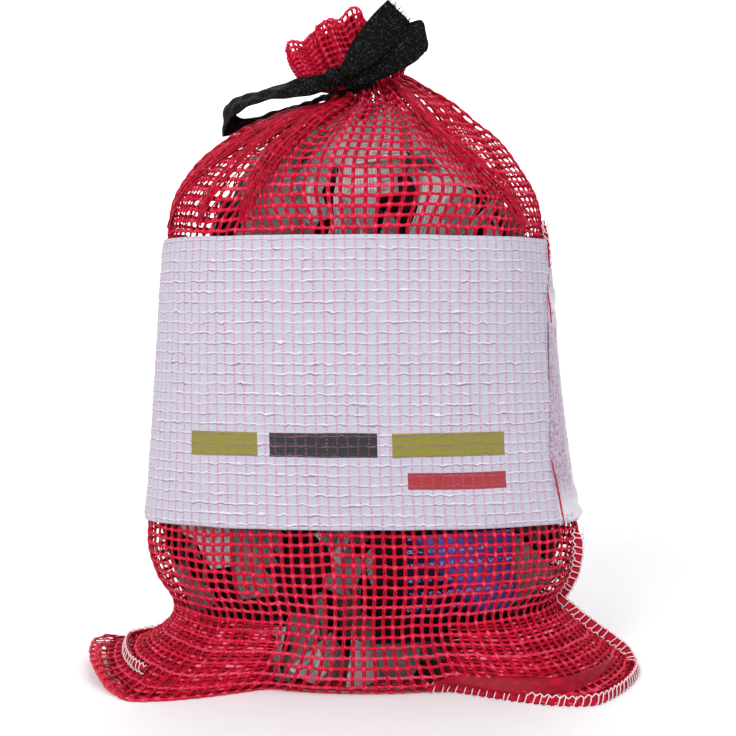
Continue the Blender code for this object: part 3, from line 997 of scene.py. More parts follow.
def net_pleats(finish):
    """The folds that the tie gathers: net laid double and treble, down from the neck."""
    random = np.random.default_rng(43)
    share = np.linspace(0.0, 1.0, PLEAT_POINTS)
    heights = PLEAT_LOW + (NECK_HEIGHT - PLEAT_LOW) * share
    threads, outs, wide = [], [], []
    for low, high, broad, narrow in PLEATS:
        turn = np.radians(low + (high - low) * share)
        path = sack_point(turn, heights, 0.4 - 2.4 * share)
        out = unit(sack_point(turn, heights, 8.0) - path)
        across = unit(np.cross(np.gradient(path, axis=0), out))
        half = broad + (narrow - broad) * share
        swell = np.sin(math.pi * np.minimum(1.0, 0.08 + share)) ** 0.3
        for place in np.linspace(-1.0, 1.0, PLEAT_THREADS):
            stray = 0.75 * soft_noise(random, (1, PLEAT_POINTS), 5.0)[0]
            lift = 0.5 * soft_noise(random, (1, PLEAT_POINTS), 3.0)[0] + 0.8 * (1 - place**2)
            side = place * half * swell + stray
            threads.append(path + across * side[:, None] + out * lift[:, None])
            outs.append(out)
            wide.append(0.62 + 0.18 * np.sin(share * 40.0 + 9.0 * place))
    threads, outs = np.array(threads), np.array(outs)
    crossing = []
    for lines in (threads, outs):
        rungs = lines.reshape(len(PLEATS), PLEAT_THREADS, PLEAT_POINTS, 3)[:, :, 2:-8:4]
        crossing.append(np.moveaxis(rungs, 1, 2).reshape(-1, PLEAT_THREADS, 3))
    parts = []
    start = 0
    for lines, facing, thickness in ((threads, outs, np.array(wide)), (*crossing, 0.7)):
        section = round_section(LOOSE_SIDES)
        verts, faces, uv = sweep(lines, facing, section, thickness, 0.35)
        parts.append((verts, faces + start, uv, loose_tone(lines, 0.1, 0.12, random)))
        start += len(verts)
    verts, faces, uv, tone = (np.concatenate([part[k] for part in parts]) for k in range(4))
    return mesh_object("net_pleats", verts, faces, finish, uv, tone)


def loose_tone(lines, base, spread, random):
    """Tones of loose threads, which differ from thread to thread and along each one."""
    count, points = lines.shape[:2]
    tone = base + 0.08 * random.standard_normal(count).repeat(points * LOOSE_SIDES)
    return tone + spread * random.standard_normal(count * points).repeat(LOOSE_SIDES)


def ear_wefts(grid, outs, finish, random):
    """Threads between the rows on the folded corners, where the net lies doubled."""
    lines, facings = [], []
    angle = np.arctan2(grid[BASE_ROWS, :, 1], grid[BASE_ROWS, :, 0])
    for middle in EAR_MIDDLE.values():
        inside = np.nonzero(np.abs(angle_off(angle, middle)) < EAR_SPAN)[0]
        inside = np.linspace(inside[0], inside[-1], 24).round().astype(int)
        for row in range(BASE_ROWS, BASE_ROWS + 7):
            for part in (0.35, 0.7):
                strand = grid[row, inside] * (1 - part) + grid[row + 1, inside] * part
                out = outs[row, inside]
                lines.append(strand + out * random.uniform(-1.1, -0.1))
                facings.append(out)
    dense = between(np.array(lines), NET_STEPS, 1, False)
    face = unit(between(np.array(facings), NET_STEPS, 1, False))
    count, points = dense.shape[:2]
    sway = soft_noise(random, (count, points), 3.0) * 0.7
    upwards = unit(np.cross(face, np.gradient(dense, axis=1)))
    dense = dense + upwards * sway[..., None]
    place = np.arange(points)
    ends = np.minimum(1.0, 0.15 + np.minimum(place, place[::-1]) / 6.0)
    section = round_section(LOOSE_SIDES)
    verts, faces, uv = sweep(dense, face, section, WEFT_HALF * 0.85 * ends, 0.32)
    tone = loose_tone(dense, 0.16, 0.3, random)
    return mesh_object("net_ear_wefts", verts, faces, finish, uv, tone)


def ruffle_lining(finish):
    """The gathered net inside the ruffle: a wavy wall of it that closes at the neck."""
    columns, column_step = 240, 0.55
    turn = np.linspace(0.0, TURN, columns, endpoint=False)
    axis = np.array(RIM_CENTRE[:2])
    wall = [(t, 0.8) for t in np.linspace(0.0, 0.86, 16)]
    wall += [(t, 0.02 + 0.7 * smooth_step(t / 0.5)) for t in np.linspace(0.84, 0.0, 24)]
    rings = []
    for t, share in wall:
        ring = ruffle_point(turn, t)
        gathered = share + 0.07 * np.cos(19 * turn + 3.0 * t) * t
        ring[:, :2] = axis + (ring[:, :2] - axis) * gathered[:, None]
        rings.append(ring)
    faces = grid_faces(len(rings), columns, True, True)
    low = np.arange(len(rings))[:, None] * LAYER_STEP
    left = np.arange(columns)[None] * column_step
    uv = cell_uv(left, low, left + column_step, low + LAYER_STEP)
    return mesh_object("net_ruffle_lining", rings, faces, finish, uv)


# The label


LABEL_STEPS = 4
LABEL_OUT = 1.2
LABEL_THICK = 1.1
THREAD_RELIEF = 0.45


def label_surface(random):
    """Rows of points on the outer face of the label, with the net's relief pressed in."""
    heights = row_heights()
    inside = heights[(heights > BAND_BOTTOM + 1.0) & (heights < BAND_TOP - 1.0)]
    columns = COLUMNS * LABEL_STEPS
    rows = np.arange(0, (len(inside) - 1) * LABEL_STEPS + 1) / LABEL_STEPS
    level = np.interp(rows, np.arange(len(inside)), inside)
    level = np.concatenate((
        (BAND_BOTTOM, (BAND_BOTTOM + level[0]) / 2), level, ((BAND_TOP + level[-1]) / 2, BAND_TOP),
    ))
    row_number = np.concatenate((
        (rows[0] - (inside[0] - BAND_BOTTOM) / PITCH, rows[0] - 0.4), rows,
        (rows[-1] + 0.4, rows[-1] + (BAND_TOP - inside[-1]) / PITCH),
    ))
    shape = (len(level), columns)
    column_number = np.arange(columns) / LABEL_STEPS
    grid = np.array([sack_point(ring_angles(h, columns), h, LABEL_OUT) for h in level])
    outs = outward(grid)
    off_column = np.abs((column_number + 0.5) % 1.0 - 0.5)[None, :]
    off_row = np.abs((row_number + 0.5) % 1.0 - 0.5)[:, None]
    ridge = np.maximum(
        np.exp(-((off_column / 0.2) ** 2)), 0.9 * np.exp(-((off_row / 0.2) ** 2))
    )
    relief = THREAD_RELIEF * ridge - THREAD_RELIEF
    relief = relief + 0.55 * soft_noise(random, shape, 40.0) + 0.2 * soft_noise(random, shape, 9.0)
    relief = relief + 0.1 * random.standard_normal(shape)
    edge = np.minimum(np.arange(len(level)), np.arange(len(level))[::-1])
    relief = relief * np.clip(edge / 3.0, 0.25, 1.0)[:, None]
    shift = unit(np.gradient(grid, axis=0)) * (0.25 * soft_noise(random, shape, 10.0))[..., None]
    return grid + outs * relief[..., None] + shift, outs, row_number, column_number


def press_label(finish, random):
    """The label: the outer face, and an inner face with fewer rows that closes it."""
    outer, outs, row_number, left = label_surface(random)
    inner_rows = np.linspace(0, len(outer) - 1, 9).astype(int)
    inner = (outer - outs * LABEL_THICK)[inner_rows][::-1]
    rings = np.concatenate((outer, inner))
    low = np.concatenate((row_number, row_number[inner_rows][::-1]))[:, None]
    left = (left - COLUMNS * (left >= COLUMNS / 2))[None, :]
    uv = cell_uv(left, low, left + 1.0 / LABEL_STEPS, np.roll(low, -1, axis=0))
    faces = grid_faces(*rings.shape[:2], True, True)
    return mesh_object("label_film", rings, faces, finish, uv)


# The paper inside


CORE_TOP = 290.0
PAPER_TOP = 306.0
SHEET_STEPS = 16
DEEPEST_CREASE = -22.0

# The zone of the dark sheet: middle and half of its angle, then of its height
DARK_ANGLE = (math.radians(-56.0), math.radians(25.0))
DARK_HEIGHT = (52.0, 24.0)

# Lowest and highest point of each belt of sheets, its rings, and the sheets in a ring
BELTS = ((6.0, 90.0, 5, 21), (206.0, 300.0, 5, 14))


def paper_point(angle, height, outward=0.0):
    """Points on the outside of the stuffing, which leaves the shoulders of the net empty."""
    left = smooth_step((height - 185.0) / 60.0) * 0.22
    right = smooth_step((height - 215.0) / 60.0) * 0.12
    point = sack_point(angle, np.clip(height, 1.0, PAPER_TOP), outward, ears=0.0)
    side = np.cos(angle)
    share = 1.0 - np.where(side < 0.0, left * np.abs(side) ** 1.5, right * side**1.5)
    point[..., 0] = point[..., 0] * share
    point[..., 2] = np.maximum(point[..., 2] - 6.0 * smooth_step((height - 260) / 40.0), 1.6)
    return point


def crumple(across, along, random, creases, slope):
    """Height of a sheet with straight creases in all directions."""
    height = np.zeros_like(across)
    for _ in range(creases):
        turn = random.uniform(0.0, TURN)
        place = random.uniform(-24.0, 24.0)
        reach = np.cos(turn) * across + np.sin(turn) * along
        height += random.uniform(-slope, slope) * np.abs(reach - place)
    return height


def paper_sheet(angle, height, size, turn, tip, random, creases=7, slope=0.55, deep=2.6):
    """One crumpled sheet on the stuffing: points, and place on the printed page."""
    side = np.linspace(-0.5, 0.5, SHEET_STEPS)
    across, along = np.meshgrid(side * size[0], side * size[1])
    ragged = 1.0 + 0.03 * soft_noise(random, across.shape, 8.0)
    across, along = across * ragged, along * ragged
    relief = crumple(across, along, random, creases, slope)
    relief = relief + crumple(across, along, random, creases, slope * 0.2)
    relief = np.maximum(relief - relief.max(), DEEPEST_CREASE)
    lean = tip[0] * across / size[0] + tip[1] * along / size[1] - np.hypot(*tip) / 2.0
    east = across * math.cos(turn) - along * math.sin(turn)
    north = across * math.sin(turn) + along * math.cos(turn)
    around = max(np.linalg.norm(paper_point(angle, height)[:2] * (1.0, 1.3)), 26.0)
    out = 0.72 * relief + lean - deep
    points = paper_point(angle + east / around, height + north * 0.93, out)
    page = np.stack((across + random.uniform(0, 400), along + random.uniform(0, 400)), axis=-1)
    return points, page


def join_sheets(name, sheets, finish, grey_and_shade_tones):
    """Sheets of one size as one object, thin and closed, with sharp creases."""
    cells = SHEET_STEPS**2
    quads = grid_faces(SHEET_STEPS, SHEET_STEPS)
    faces = np.vstack([quads + i * cells for i in range(len(sheets))])
    points, pages = (np.array([sheet[k] for sheet in sheets]) for k in range(2))
    pages = pages.reshape(-1, 2)[faces.ravel()]
    tone = np.repeat(np.array(grey_and_shade_tones, float), cells)
    made = thicken(mesh_object(name, points, faces, finish, pages, tone), 0.25)
    bpy.ops.object.shade_smooth_by_angle(angle=math.radians(14.0))
    return made


def sheet_places(random):
    """Where the crumpled sheets lie, under and over the label."""
    places = []
    for low, high, rings, count in BELTS:
        for ring in range(rings):
            level = low + (high - low) * (ring + 0.5) / rings
            here = max(5, round(count * (1.0 if level < 250 else (325.0 - level) / 75.0)))
            for i in range(here):
                angle = FRONT + TURN * (i + 0.5 * (ring % 2)) / here
                angle = angle + random.uniform(-0.12, 0.12)
                height = level + random.uniform(-7.0, 7.0)
                in_turn = abs(angle_off(angle, DARK_ANGLE[0])) < DARK_ANGLE[1]
                if not (in_turn and abs(height - DARK_HEIGHT[0]) < DARK_HEIGHT[1]):
                    places.append((angle, height))
    return places


def stuffing_core(finish):
    """The dim heap of paper behind the sheets, as a closed body; its near-black colour is painted
    shade.
    """
    bpy.ops.mesh.primitive_uv_sphere_add(segments=96, ring_count=64, radius=1.0)
    core = bpy.context.object
    core.name = "paper_core"
    turns = np.random.default_rng(11).uniform(0.0, TURN, (14, 3))
    co = np.zeros(len(core.data.vertices) * 3)
    core.data.vertices.foreach_get("co", co)
    co = co.reshape(-1, 3)
    rise = np.clip(np.arccos(-co[:, 2]) / math.pi, 0.0, 1.0)
    height = 4.0 + (CORE_TOP - 4.0) * rise
    angle = np.arctan2(co[:, 1], co[:, 0])
    lumps = sum(
        np.abs(np.sin(height / (14 + 3 * i) + turn[0]) * np.cos((3 + i) * angle + turn[1]))
        for i, turn in enumerate(turns)
    ) / len(turns)
    ends = np.sqrt(np.clip(1.0 - co[:, 2] ** 2, 0.0, 1.0))
    points = paper_point(angle, height, -15.0 - 9.0 * lumps)
    middle = np.array((-4.0, -4.0))
    reach = np.clip(ends * 3.0, 0.0, 1.0)[:, None]
    points[:, :2] = middle + (points[:, :2] - middle) * reach
    core.data.vertices.foreach_set("co", (points * MM).ravel())
    core.data.update()
    core.data.materials.append(finish)
    select_only(core)
    bpy.ops.object.shade_smooth()
    return core


# The ribbon


# Middle of the ribbon, the way its face looks, and its width against the plain ribbon
LOOP_STOPS = (
    (-14, -27, 312, 0, -1, 0.3, 0.55),
    (-28, -28, 309, -0.1, -1, 0.4, 0.78),
    (-43, -26, 306.5, -0.1, -0.7, 0.9, 0.95),
    (-58, -23, 303, -0.3, -0.6, 1.1, 1.05),
    (-69, -19, 298.5, -0.7, -0.6, 0.8, 1.12),
    (-75, -12, 292, -1, -0.4, 0.2, 1.15),
    (-72.5, -3, 289, -0.9, 0.1, 0.6, 1.0),
    (-62, 5, 291, -0.5, 0.2, 0.9, 0.95),
    (-50, 11, 295.5, -0.3, 0.2, 0.9, 0.9),
    (-38, 13, 299, -0.3, 0.2, 0.9, 0.8),
    (-29, 11, 302, -0.5, 0.2, 0.8, 0.7),
    (-22.5, 9, 305, -0.6, 0.3, 0.7, 0.65),
)
FOLD_STOPS = (
    (-13, -28, 311, 0.1, -1, 0.1, 0.55),
    (-4, -31.5, 313.5, 0.1, -1, 0.2, 0.8),
    (8, -32.5, 320, 0.2, -1, 0.2, 1.15),
    (18, -31.5, 327, 0.3, -1, 0.1, 1.4),
    (25.5, -29, 331.5, 0.7, -0.7, 0, 1.35),
    (29.5, -24.5, 333.5, 1, 0, 0.2, 1.2),
    (25, -20.5, 332, 0.3, 1, 0.2, 1.1),
    (17, -20.5, 328.5, -0.2, 1, 0.3, 1.0),
    (7, -24.5, 321.5, -0.2, 1, 0.3, 0.7),
    (-8, -27.5, 313, -0.2, 1, 0.2, 0.5),
)
END_STOPS = (
    (-14, -30, 312, -0.1, -1, 0.2, 0.45),
    (-9, -34.5, 317.5, -0.1, -1, 0.2, 0.8),
    (-3.5, -36.5, 323.5, -0.1, -1, 0.2, 1.15),
    (3, -36.5, 330.5, 0, -1, 0.1, 1.3),
    (10, -35, 338, 0.1, -1, 0, 1.35),
    (16, -32, 344.5, 0.1, -1, 0, 1.3),
)
RIBBON_HALF_THICK = 0.55
RIBBON_STEPS = 8
COLLAR_HEIGHT = 309.0


def ribbon_half_width():
    return bpy.context.scene.sack_ribbon.width / MM / 2


def ribbon_strap(name, stops, cup, finish):
    """One stretch of ribbon: its width follows the stops, and it is cupped across."""
    dense = between(np.array(stops, float)[None], RIBBON_STEPS, 1, False)
    section = flat_section(11)
    share = section[:, :1]
    step = np.arange(dense.shape[1])[:, None, None]
    ripple = 0.35 * np.sin(step * 0.9 + 3.0 * share) + 0.3 * np.cos(step * 0.37 - 5.0 * share)
    return swept(
        name, dense[..., :3], dense[..., 3:6], section, ribbon_half_width() * dense[..., 6],
        RIBBON_HALF_THICK, finish, lift=ripple - cup * share**2,
    )


def frayed_end(finish):
    """Loose threads at the cut end of the ribbon."""
    random = np.random.default_rng(17)
    before, tip = np.array(END_STOPS, float)[-2:]
    facing = tip[3:6]
    along = unit(tip[:3] - before[:3])
    across = unit(np.cross(along, facing))
    steps = np.linspace(0.0, 1.0, 5)[:, None]
    threads = []
    for place in np.linspace(-0.97, 0.97, 26):
        root = tip[:3] - along * 1.2 + across * place * ribbon_half_width() * tip[6]
        reach = random.uniform(1.2, 4.0)
        bend = across * random.normal(0.0, 0.9) + facing * random.normal(0.0, 0.5)
        threads.append(root + along * reach * steps + bend * steps**2)
    threads = np.array(threads)
    outs = np.broadcast_to(unit(facing), threads.shape)
    return swept("ribbon_fray", threads, outs, round_section(4), 0.17, 0.17, finish)


def ribbon_collar(finish):
    """The turn of ribbon round the neck, sunk under the bulge of the net on the right."""
    angle = np.linspace(0, TURN, 160, endpoint=False)
    under_lobe = smooth_step((np.cos(angle - LOBE_TURN) + 0.1) / 0.8)
    ring = sack_point(angle, COLLAR_HEIGHT, -0.9 - 8.0 * under_lobe)[None]
    outs = np.stack((np.cos(angle), np.sin(angle), 0 * angle), axis=-1)[None]
    creased = 1.6 + 0.3 * np.sin(9 * angle)
    verts, faces, uv = sweep(ring, outs, flat_section(7), creased, 0.7, True)
    return mesh_object("ribbon_collar", verts, faces, finish, uv)


def ribbon_knot(finish):
    """The knot in front of the neck: a turn of ribbon pulled tight over itself."""
    bpy.ops.object.select_all(action="DESELECT")
    bpy.ops.mesh.primitive_torus_add(
        major_segments=40, minor_segments=14, major_radius=0.0042, minor_radius=0.0026,
        location=(-0.0165, -0.0285, 0.3128), rotation=(math.radians(12.0), math.radians(55.0), 0.0),
    )
    knot = bpy.context.object
    knot.name = "ribbon_knot"
    knot.scale = (0.85, 1.0, 1.5)
    bpy.ops.object.transform_apply(location=True, rotation=True, scale=True)
    creases = knot.modifiers.new("Creases", "CAST")
    creases.factor = 0.12
    bpy.ops.object.modifier_apply(modifier=creases.name)
    bpy.ops.object.shade_smooth()
    knot.data.materials.append(finish)
    return knot


# The seam


HEM_WIDTH = 5.0
TOP_HEM_WIDTH = 2.6  # above the label
TIP_HEM_WIDTH = 4.0  # at the left corner
STITCH = 4.0  # from one overlock stitch to the next
SIDE_TURN = -9.0  # degrees; the side seam lies this far round, and nearer at the corner
CORNER_TURN = 5.0
FLOOR_TURNS = (math.radians(-4.0), math.radians(-60.0))


def sideways(route, front):
    """Along a line, and away from the sack as seen from the front."""
    along = unit(np.gradient(route, axis=0))
    away = unit(np.cross(along, np.array(front)))
    return along, away * np.sign(away[:1, :1])


def seam_route():
    """The outer edge of the seam: down the right side, round the corner and along the front."""
    heights = np.concatenate((
        np.linspace(BAND_TOP + 10.0, 36.0, 110), np.linspace(35.0, 4.0, 40),
    ))
    low = 1.0 - smooth_step((heights - 30.0) / 36.0)
    base = sack_point(np.radians(SIDE_TURN + CORNER_TURN * low), heights, 0.4)
    _, away = sideways(base, (0.0, -1.0, 0.0))
    narrow = smooth_step((heights - BAND_TOP + 40.0) / 30.0)[:, None]
    side = base + away * (HEM_WIDTH - 1.2 - (HEM_WIDTH - TOP_HEM_WIDTH) * narrow)
    line = np.vstack((side, sack_point(np.linspace(*FLOOR_TURNS, 70)[1:], 0.0)))
    for _ in range(12):
        line[1:-1] = (line[:-2] + 2.0 * line[1:-1] + line[2:]) / 4.0
    route = every_millimetre(line)
    along, away = sideways(route, (0.25, -1.0, 0.12))
    facing = unit(np.cross(away, along))
    return route, away, facing * -np.sign(facing[:, 1:2])


def left_tip_route():
    """The end of the bottom seam, which shows at the tip of the left corner."""
    ring = sack_point(np.radians(np.linspace(170.0, 203.0, 200)), 7.0, 0.6)
    ring[:, 2] += tip_lift(ring)
    route = every_millimetre(ring)
    out = unit(route * (1.0, 1.0, 0.0))
    return route, unit(0.4 * out + (0.0, 0.0, -1.0)), unit(out + (0.0, 0.0, 0.4))


def sew_hem(route, away, facing, width, finish):
    """The folded edge of the net inside the stitches: a dense band of thread."""
    share = np.arange(len(route))
    ends = np.clip(np.minimum(share, share[::-1]) / 8.0, 0.15, 1.0)
    centre = route - away * width * 0.5 + facing * 0.2
    wide = width * 0.5 * ends * (1.0 + 0.06 * np.sin(share * 2.1 / STITCH))
    swell = np.sin(share * 2.0 * math.pi / STITCH)
    section = flat_section(7)
    # Lighter where each stitch swells out: painted highlight on the humps of the hem.
    tone = np.repeat(0.1 + 0.12 * swell, len(section))
    return swept(
        "seam_hem", centre[None], facing[None], section, wide, 0.9 + 0.25 * swell, finish, tone
    )


def overlock_rungs(route, away, facing, width, random, finish):
    """Stitches that wrap the edge of the hem, one every few millimetres."""
    places = np.arange(1.5, len(route) - 2.5, STITCH)
    index = np.arange(len(route))
    rungs = []
    for place in places + random.uniform(-0.8, 0.8, len(places)):
        here, out, face = (at_places(place, index, rows) for rows in (route, away, facing))
        slant = at_places(place + random.uniform(0.8, 2.6), index, route) - here
        inner = here - out * (width + random.uniform(-0.3, 0.5))
        stops = (
            inner + face * 0.7,
            inner + out * 0.35 * width + face * 1.55 + slant * 0.25,
            here - out * 0.6 + face * 1.5 + slant * 0.7,
            here + out * 0.5 + slant * 0.9,
            here - out * 0.5 - face * 1.3 + slant,
            here - out * 2.4 - face * 1.4 + slant,
        )
        rungs.append(between(np.array(stops)[None], 3, 1, False)[0])
    rungs = np.array(rungs)
    outs = unit(rungs - rungs.mean(axis=1, keepdims=True))
    return swept("overlock_rungs", rungs, outs, round_section(6), 0.3, 0.28, finish)


def overlock_chain(route, away, facing, width, random, finish):
    """The wavy lines of thread along the inner edge and the outer edge of the stitches."""
    count = len(route)
    place = np.arange(count) * 2.0 * math.pi / STITCH
    lines = []
    for reach, swing in ((-width, 0.75), (0.3, 0.35)):
        stray = soft_noise(random, (1, count), 6.0)[0] * 0.25
        sway = swing * np.sin(place) + stray
        lines.append(route + away * (reach + sway)[:, None] + facing * 1.2)
    dense = between(np.array(lines), 2, 1, False)
    face = between(np.array((facing, facing)), 2, 1, False)
    return swept("overlock_chain", dense, face, round_section(6), 0.3, 0.26, finish)


def corner_tuck(finish):
    """The lens of folded net that lies above the hem, at the right of the front, toned dark as
    painted shade.
    """
    share = np.linspace(0.0, 1.0, 50)
    path = sack_point(np.radians(np.linspace(-58.0, -13.0, 50)), 6.4 + 3.2 * share, 0.7)
    outs = unit(path * (1.0, 1.0, 0.0)) + (0.0, 0.0, 0.35)
    swell = np.sin(math.pi * share)
    section = flat_section(9)
    random = np.random.default_rng(41)
    # Toned low, towards the dark thread colour: painted shade of the fold.
    tone = 0.09 * random.standard_normal(len(path) * len(section)) - 0.06
    return swept(
        "net_tuck", path[None], outs[None], section, 0.3 + 4.4 * swell, 0.3 + 0.9 * swell,
        finish, tone,
    )


# Height and angle in degrees of the front edge of the film's fold
EDGE_ANGLES = ((78.0, -15.4), (112.0, -17.6), (150.0, -16.0), (200.0, -13.8), (216.0, -10.5))
EDGE_BACK = -2.0
EDGE_OUT = 1.5
EDGE_FLARE = 1.1


def seam_of_film(finish):
    """The label's right edge: crinkled where it is folded into the seam."""
    random = np.random.default_rng(23)
    heights = np.linspace(79.0, 215.0, 180)
    start = np.interp(heights, *np.array(EDGE_ANGLES).T)[:, None]
    share = np.linspace(0.0, 1.0, 22)[None]
    turn = np.radians(start + (EDGE_BACK - start) * share)
    crinkle = soft_noise(random, turn.shape, 4.0) + 0.7 * soft_noise(random, turn.shape, 9.0)
    points = sack_point(turn, heights[:, None], EDGE_OUT)
    outs = unit(points * (1.0, 1.0, 0.0))
    low = smooth_step((104.0 - heights) / 22.0)[:, None]
    high = np.exp(-(((heights - 193.0) / 8.0) ** 2))[:, None]
    free = np.maximum(low, high)
    rough = (0.28 + 0.3 * free) * crinkle * np.minimum(1.0, 4.0 * share)
    points = points + outs * rough[..., None]
    flare = np.maximum(low, 0.8 * high) * share**2 * (EDGE_FLARE + 0.5 * crinkle)
    points[..., 0] += flare
    points[..., 1] -= 0.4 * flare
    tone = np.maximum(free, 0.6 * smooth_step((share - 0.45) / 0.4))
    faces = grid_faces(*turn.shape)
    return thicken(mesh_object("label_edge", points, faces, finish, None, tone), 0.3)


# Height and angle in degrees of each stretch of the red thread that shows
SEAM_THREAD_STOPS = (
    ((76.0, -15.0), (93.0, -15.6), (101.0, -16.2), (112.0, -17.6)),
    ((184.0, -13.7), (192.0, -14.2), (200.0, -15.3)),
    ((213.0, -12.6), (217.0, -12.5), (224.0, -12.5)),
)


def red_seam_thread(finish):
    """The red thread that closes the side seam, seen over the label's right edge."""
    share = np.linspace(0.0, 1.0, 60)
    points, outs, widths = [], [], []
    for stops in SEAM_THREAD_STOPS:
        heights = np.linspace(stops[0][0], stops[-1][0], 60)
        path = sack_point(np.radians(np.interp(heights, *np.array(stops).T)), heights, 2.3)
        points.append(path)
        outs.append(np.cross(unit(np.gradient(path, axis=0)), (-0.3, 1.0, 0.0)))
        widths.append(0.6 * np.sin(math.pi * (0.06 + 0.88 * share)) + 0.12 * np.sin(heights * 1.3))
    section = round_section(6)
    tone = np.full(len(points) * 60 * len(section), 0.15)
    return swept(
        "seam_thread", np.array(points), np.array(outs), section, np.array(widths), 0.35,
        finish, tone,
    )


# Settings


def colour_setting(name, description, colour):
    """A colour that can be changed in the sidebar."""
    return bpy.props.FloatVectorProperty(
        name=name, description=description, subtype="COLOR", size=3, min=0.0, max=1.0,
        default=linear(colour)[:3],
    )


class NetSettings(bpy.types.PropertyGroup):
    """Colours of the net."""

    colour: colour_setting("Thread", "Colour of the net's threads", "#CE0930")
    # Dark thread is also the painted shade on the inner side of the wefts and in the tuck above the
    # hem.
    shade: colour_setting("Dark thread", "Colour of the darkest threads", "#8A041E")
    # Light thread is the colour of the painted highlights at the crossings of the threads.
    light: colour_setting("Light thread", "Colour where the tape is thinnest", "#EC6A90")


class LabelSettings(bpy.types.PropertyGroup):
    """Colours of the label."""

    colour: colour_setting("Film", "Colour of the label film", "#B8BAC7")
    thread: colour_setting(
        "Thread under it", "Colour of the net seen through the film", "#8E5A7E"
    )


class PaperSettings(bpy.types.PropertyGroup):
    """Colours of the paper inside."""

    colour: colour_setting("Paper", "Colour of the newsprint", "#F2ECEE")
    # The greyer colour is the low end of the fibre mottle, where the fibre bump is low; the paper is
    # not worn.
    shade: colour_setting("Worn paper", "Colour of its greyer spots", "#D6CED2")


class RibbonSettings(bpy.types.PropertyGroup):
    """Colour and width of the ribbon."""

    colour: colour_setting("Ribbon", "Colour of the ribbon", "#040303")
    width: bpy.props.FloatProperty(
        name="Width", description="Width of the ribbon", unit="LENGTH", default=0.0132,
    )


class StageSettings(bpy.types.PropertyGroup):
    """The camera."""

    distance: bpy.props.FloatProperty(
        name="Distance", description="From the sack's middle to the camera, along Y",
        unit="LENGTH", default=0.777,
    )
    height: bpy.props.FloatProperty(
        name="Height", description="Height of the camera", unit="LENGTH", default=0.276,
    )
    pitch: bpy.props.FloatProperty(
        name="Pitch", description="How far the camera looks down", subtype="ANGLE",
        default=math.radians(8.55),
    )
    lens: bpy.props.FloatProperty(
        name="Lens", description="Focal length", unit="CAMERA", default=70.92,
    )


# Operators


def ride(*pieces, slot):
    for piece in pieces:
        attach(piece, BODY)


class SACK_OT_stuff_paper(bpy.types.Operator):
    """Stuffs the sack with crumpled newsprint."""

    bl_idname = "sack.stuff_paper"
    bl_label = "Stuff paper"

    def execute(self, context):
        random = np.random.default_rng(21)
        sheets = []
        grey_and_shade_tones = []
        for angle, height in sheet_places(random):
            high_up = height > BAND_TOP - 90.0
            size = random.uniform(*((34.0, 60.0) if high_up else (22.0, 40.0)), 2)
            tip = random.uniform(-11.0, 11.0, 2)
            turn = random.uniform(0, TURN)
            sheets.append(paper_sheet(angle, height, size, turn, tip, random))
            # Each sheet's tone: grey print that differs at random, and painted shade that makes the
            # lower sheets darker.
            grey_and_shade_tones.append(random.choice(
                (0.1, 0.5, 0.8, 1.0, 1.0) if high_up else (0.0, 0.08, 0.35, 0.7, 1.0)
            ))
            # Lower sheets darker still on the right of the sack: painted shade.
            if not high_up:
                grey_and_shade_tones[-1] *= 1.0 - 0.75 * smooth_step(math.cos(angle) + 0.4)
        paper = join_sheets("newsprint_sheets", sheets, newsprint(), grey_and_shade_tones)
        panel, page = paper_sheet(
            DARK_ANGLE[0], DARK_HEIGHT[0], (92.0, 58.0), 0.04, (0.0, 0.0), random, 3, 0.05, 1.4
        )
        page = page - page[SHEET_STEPS // 2, SHEET_STEPS // 2]
        dark = join_sheets("dark_printed_sheet", [(panel, page)], dark_print(), (1.0,))
        core = stuffing_core(deep_paper())
        for piece in (paper, dark, core):
            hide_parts("net_sack")
        ride(paper, dark, core, slot="newsprint")
        return {"FINISHED"}


class SACK_OT_weave_net(bpy.types.Operator):
    """Weaves the net of the sack from single threads."""

    bl_idname = "sack.weave_net"
    bl_label = "Weave net"

    def execute(self, context):
        grid, outs, heights = woven_net()
        finish = net_tape()
        random = np.random.default_rng(3)
        under = BASE_ROWS + int(np.searchsorted(heights, BAND_BOTTOM + 6.0))
        over = BASE_ROWS + int(np.searchsorted(heights, BAND_TOP - 6.0))
        rows = np.r_[0:under, over:len(grid)]
        dense = folded_net()
        pieces = (
            weave_wefts(grid[rows], outs[rows], finish, random),
            weave_warps("net_warps_lower", grid[:under], outs[:under], finish, random),
            weave_warps("net_warps_upper", grid[over:], outs[over:], finish, random),
            corner_fold("left", dense), corner_fold("right", dense), ruffle_lining(dense),
            net_pleats(finish), ear_wefts(grid, outs, finish, random),
        )
        for piece in pieces:
            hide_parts("net_sack")
        ride(*pieces, slot="net")
        return {"FINISHED"}


class SACK_OT_press_label(bpy.types.Operator):
    """Presses the label film on to the net."""

    bl_idname = "sack.press_label"
    bl_label = "Press label"

    def execute(self, context):
        film = press_label(pressed_film(), np.random.default_rng(5))
        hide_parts("label_band")
        ride(film, slot="label")
        return {"FINISHED"}


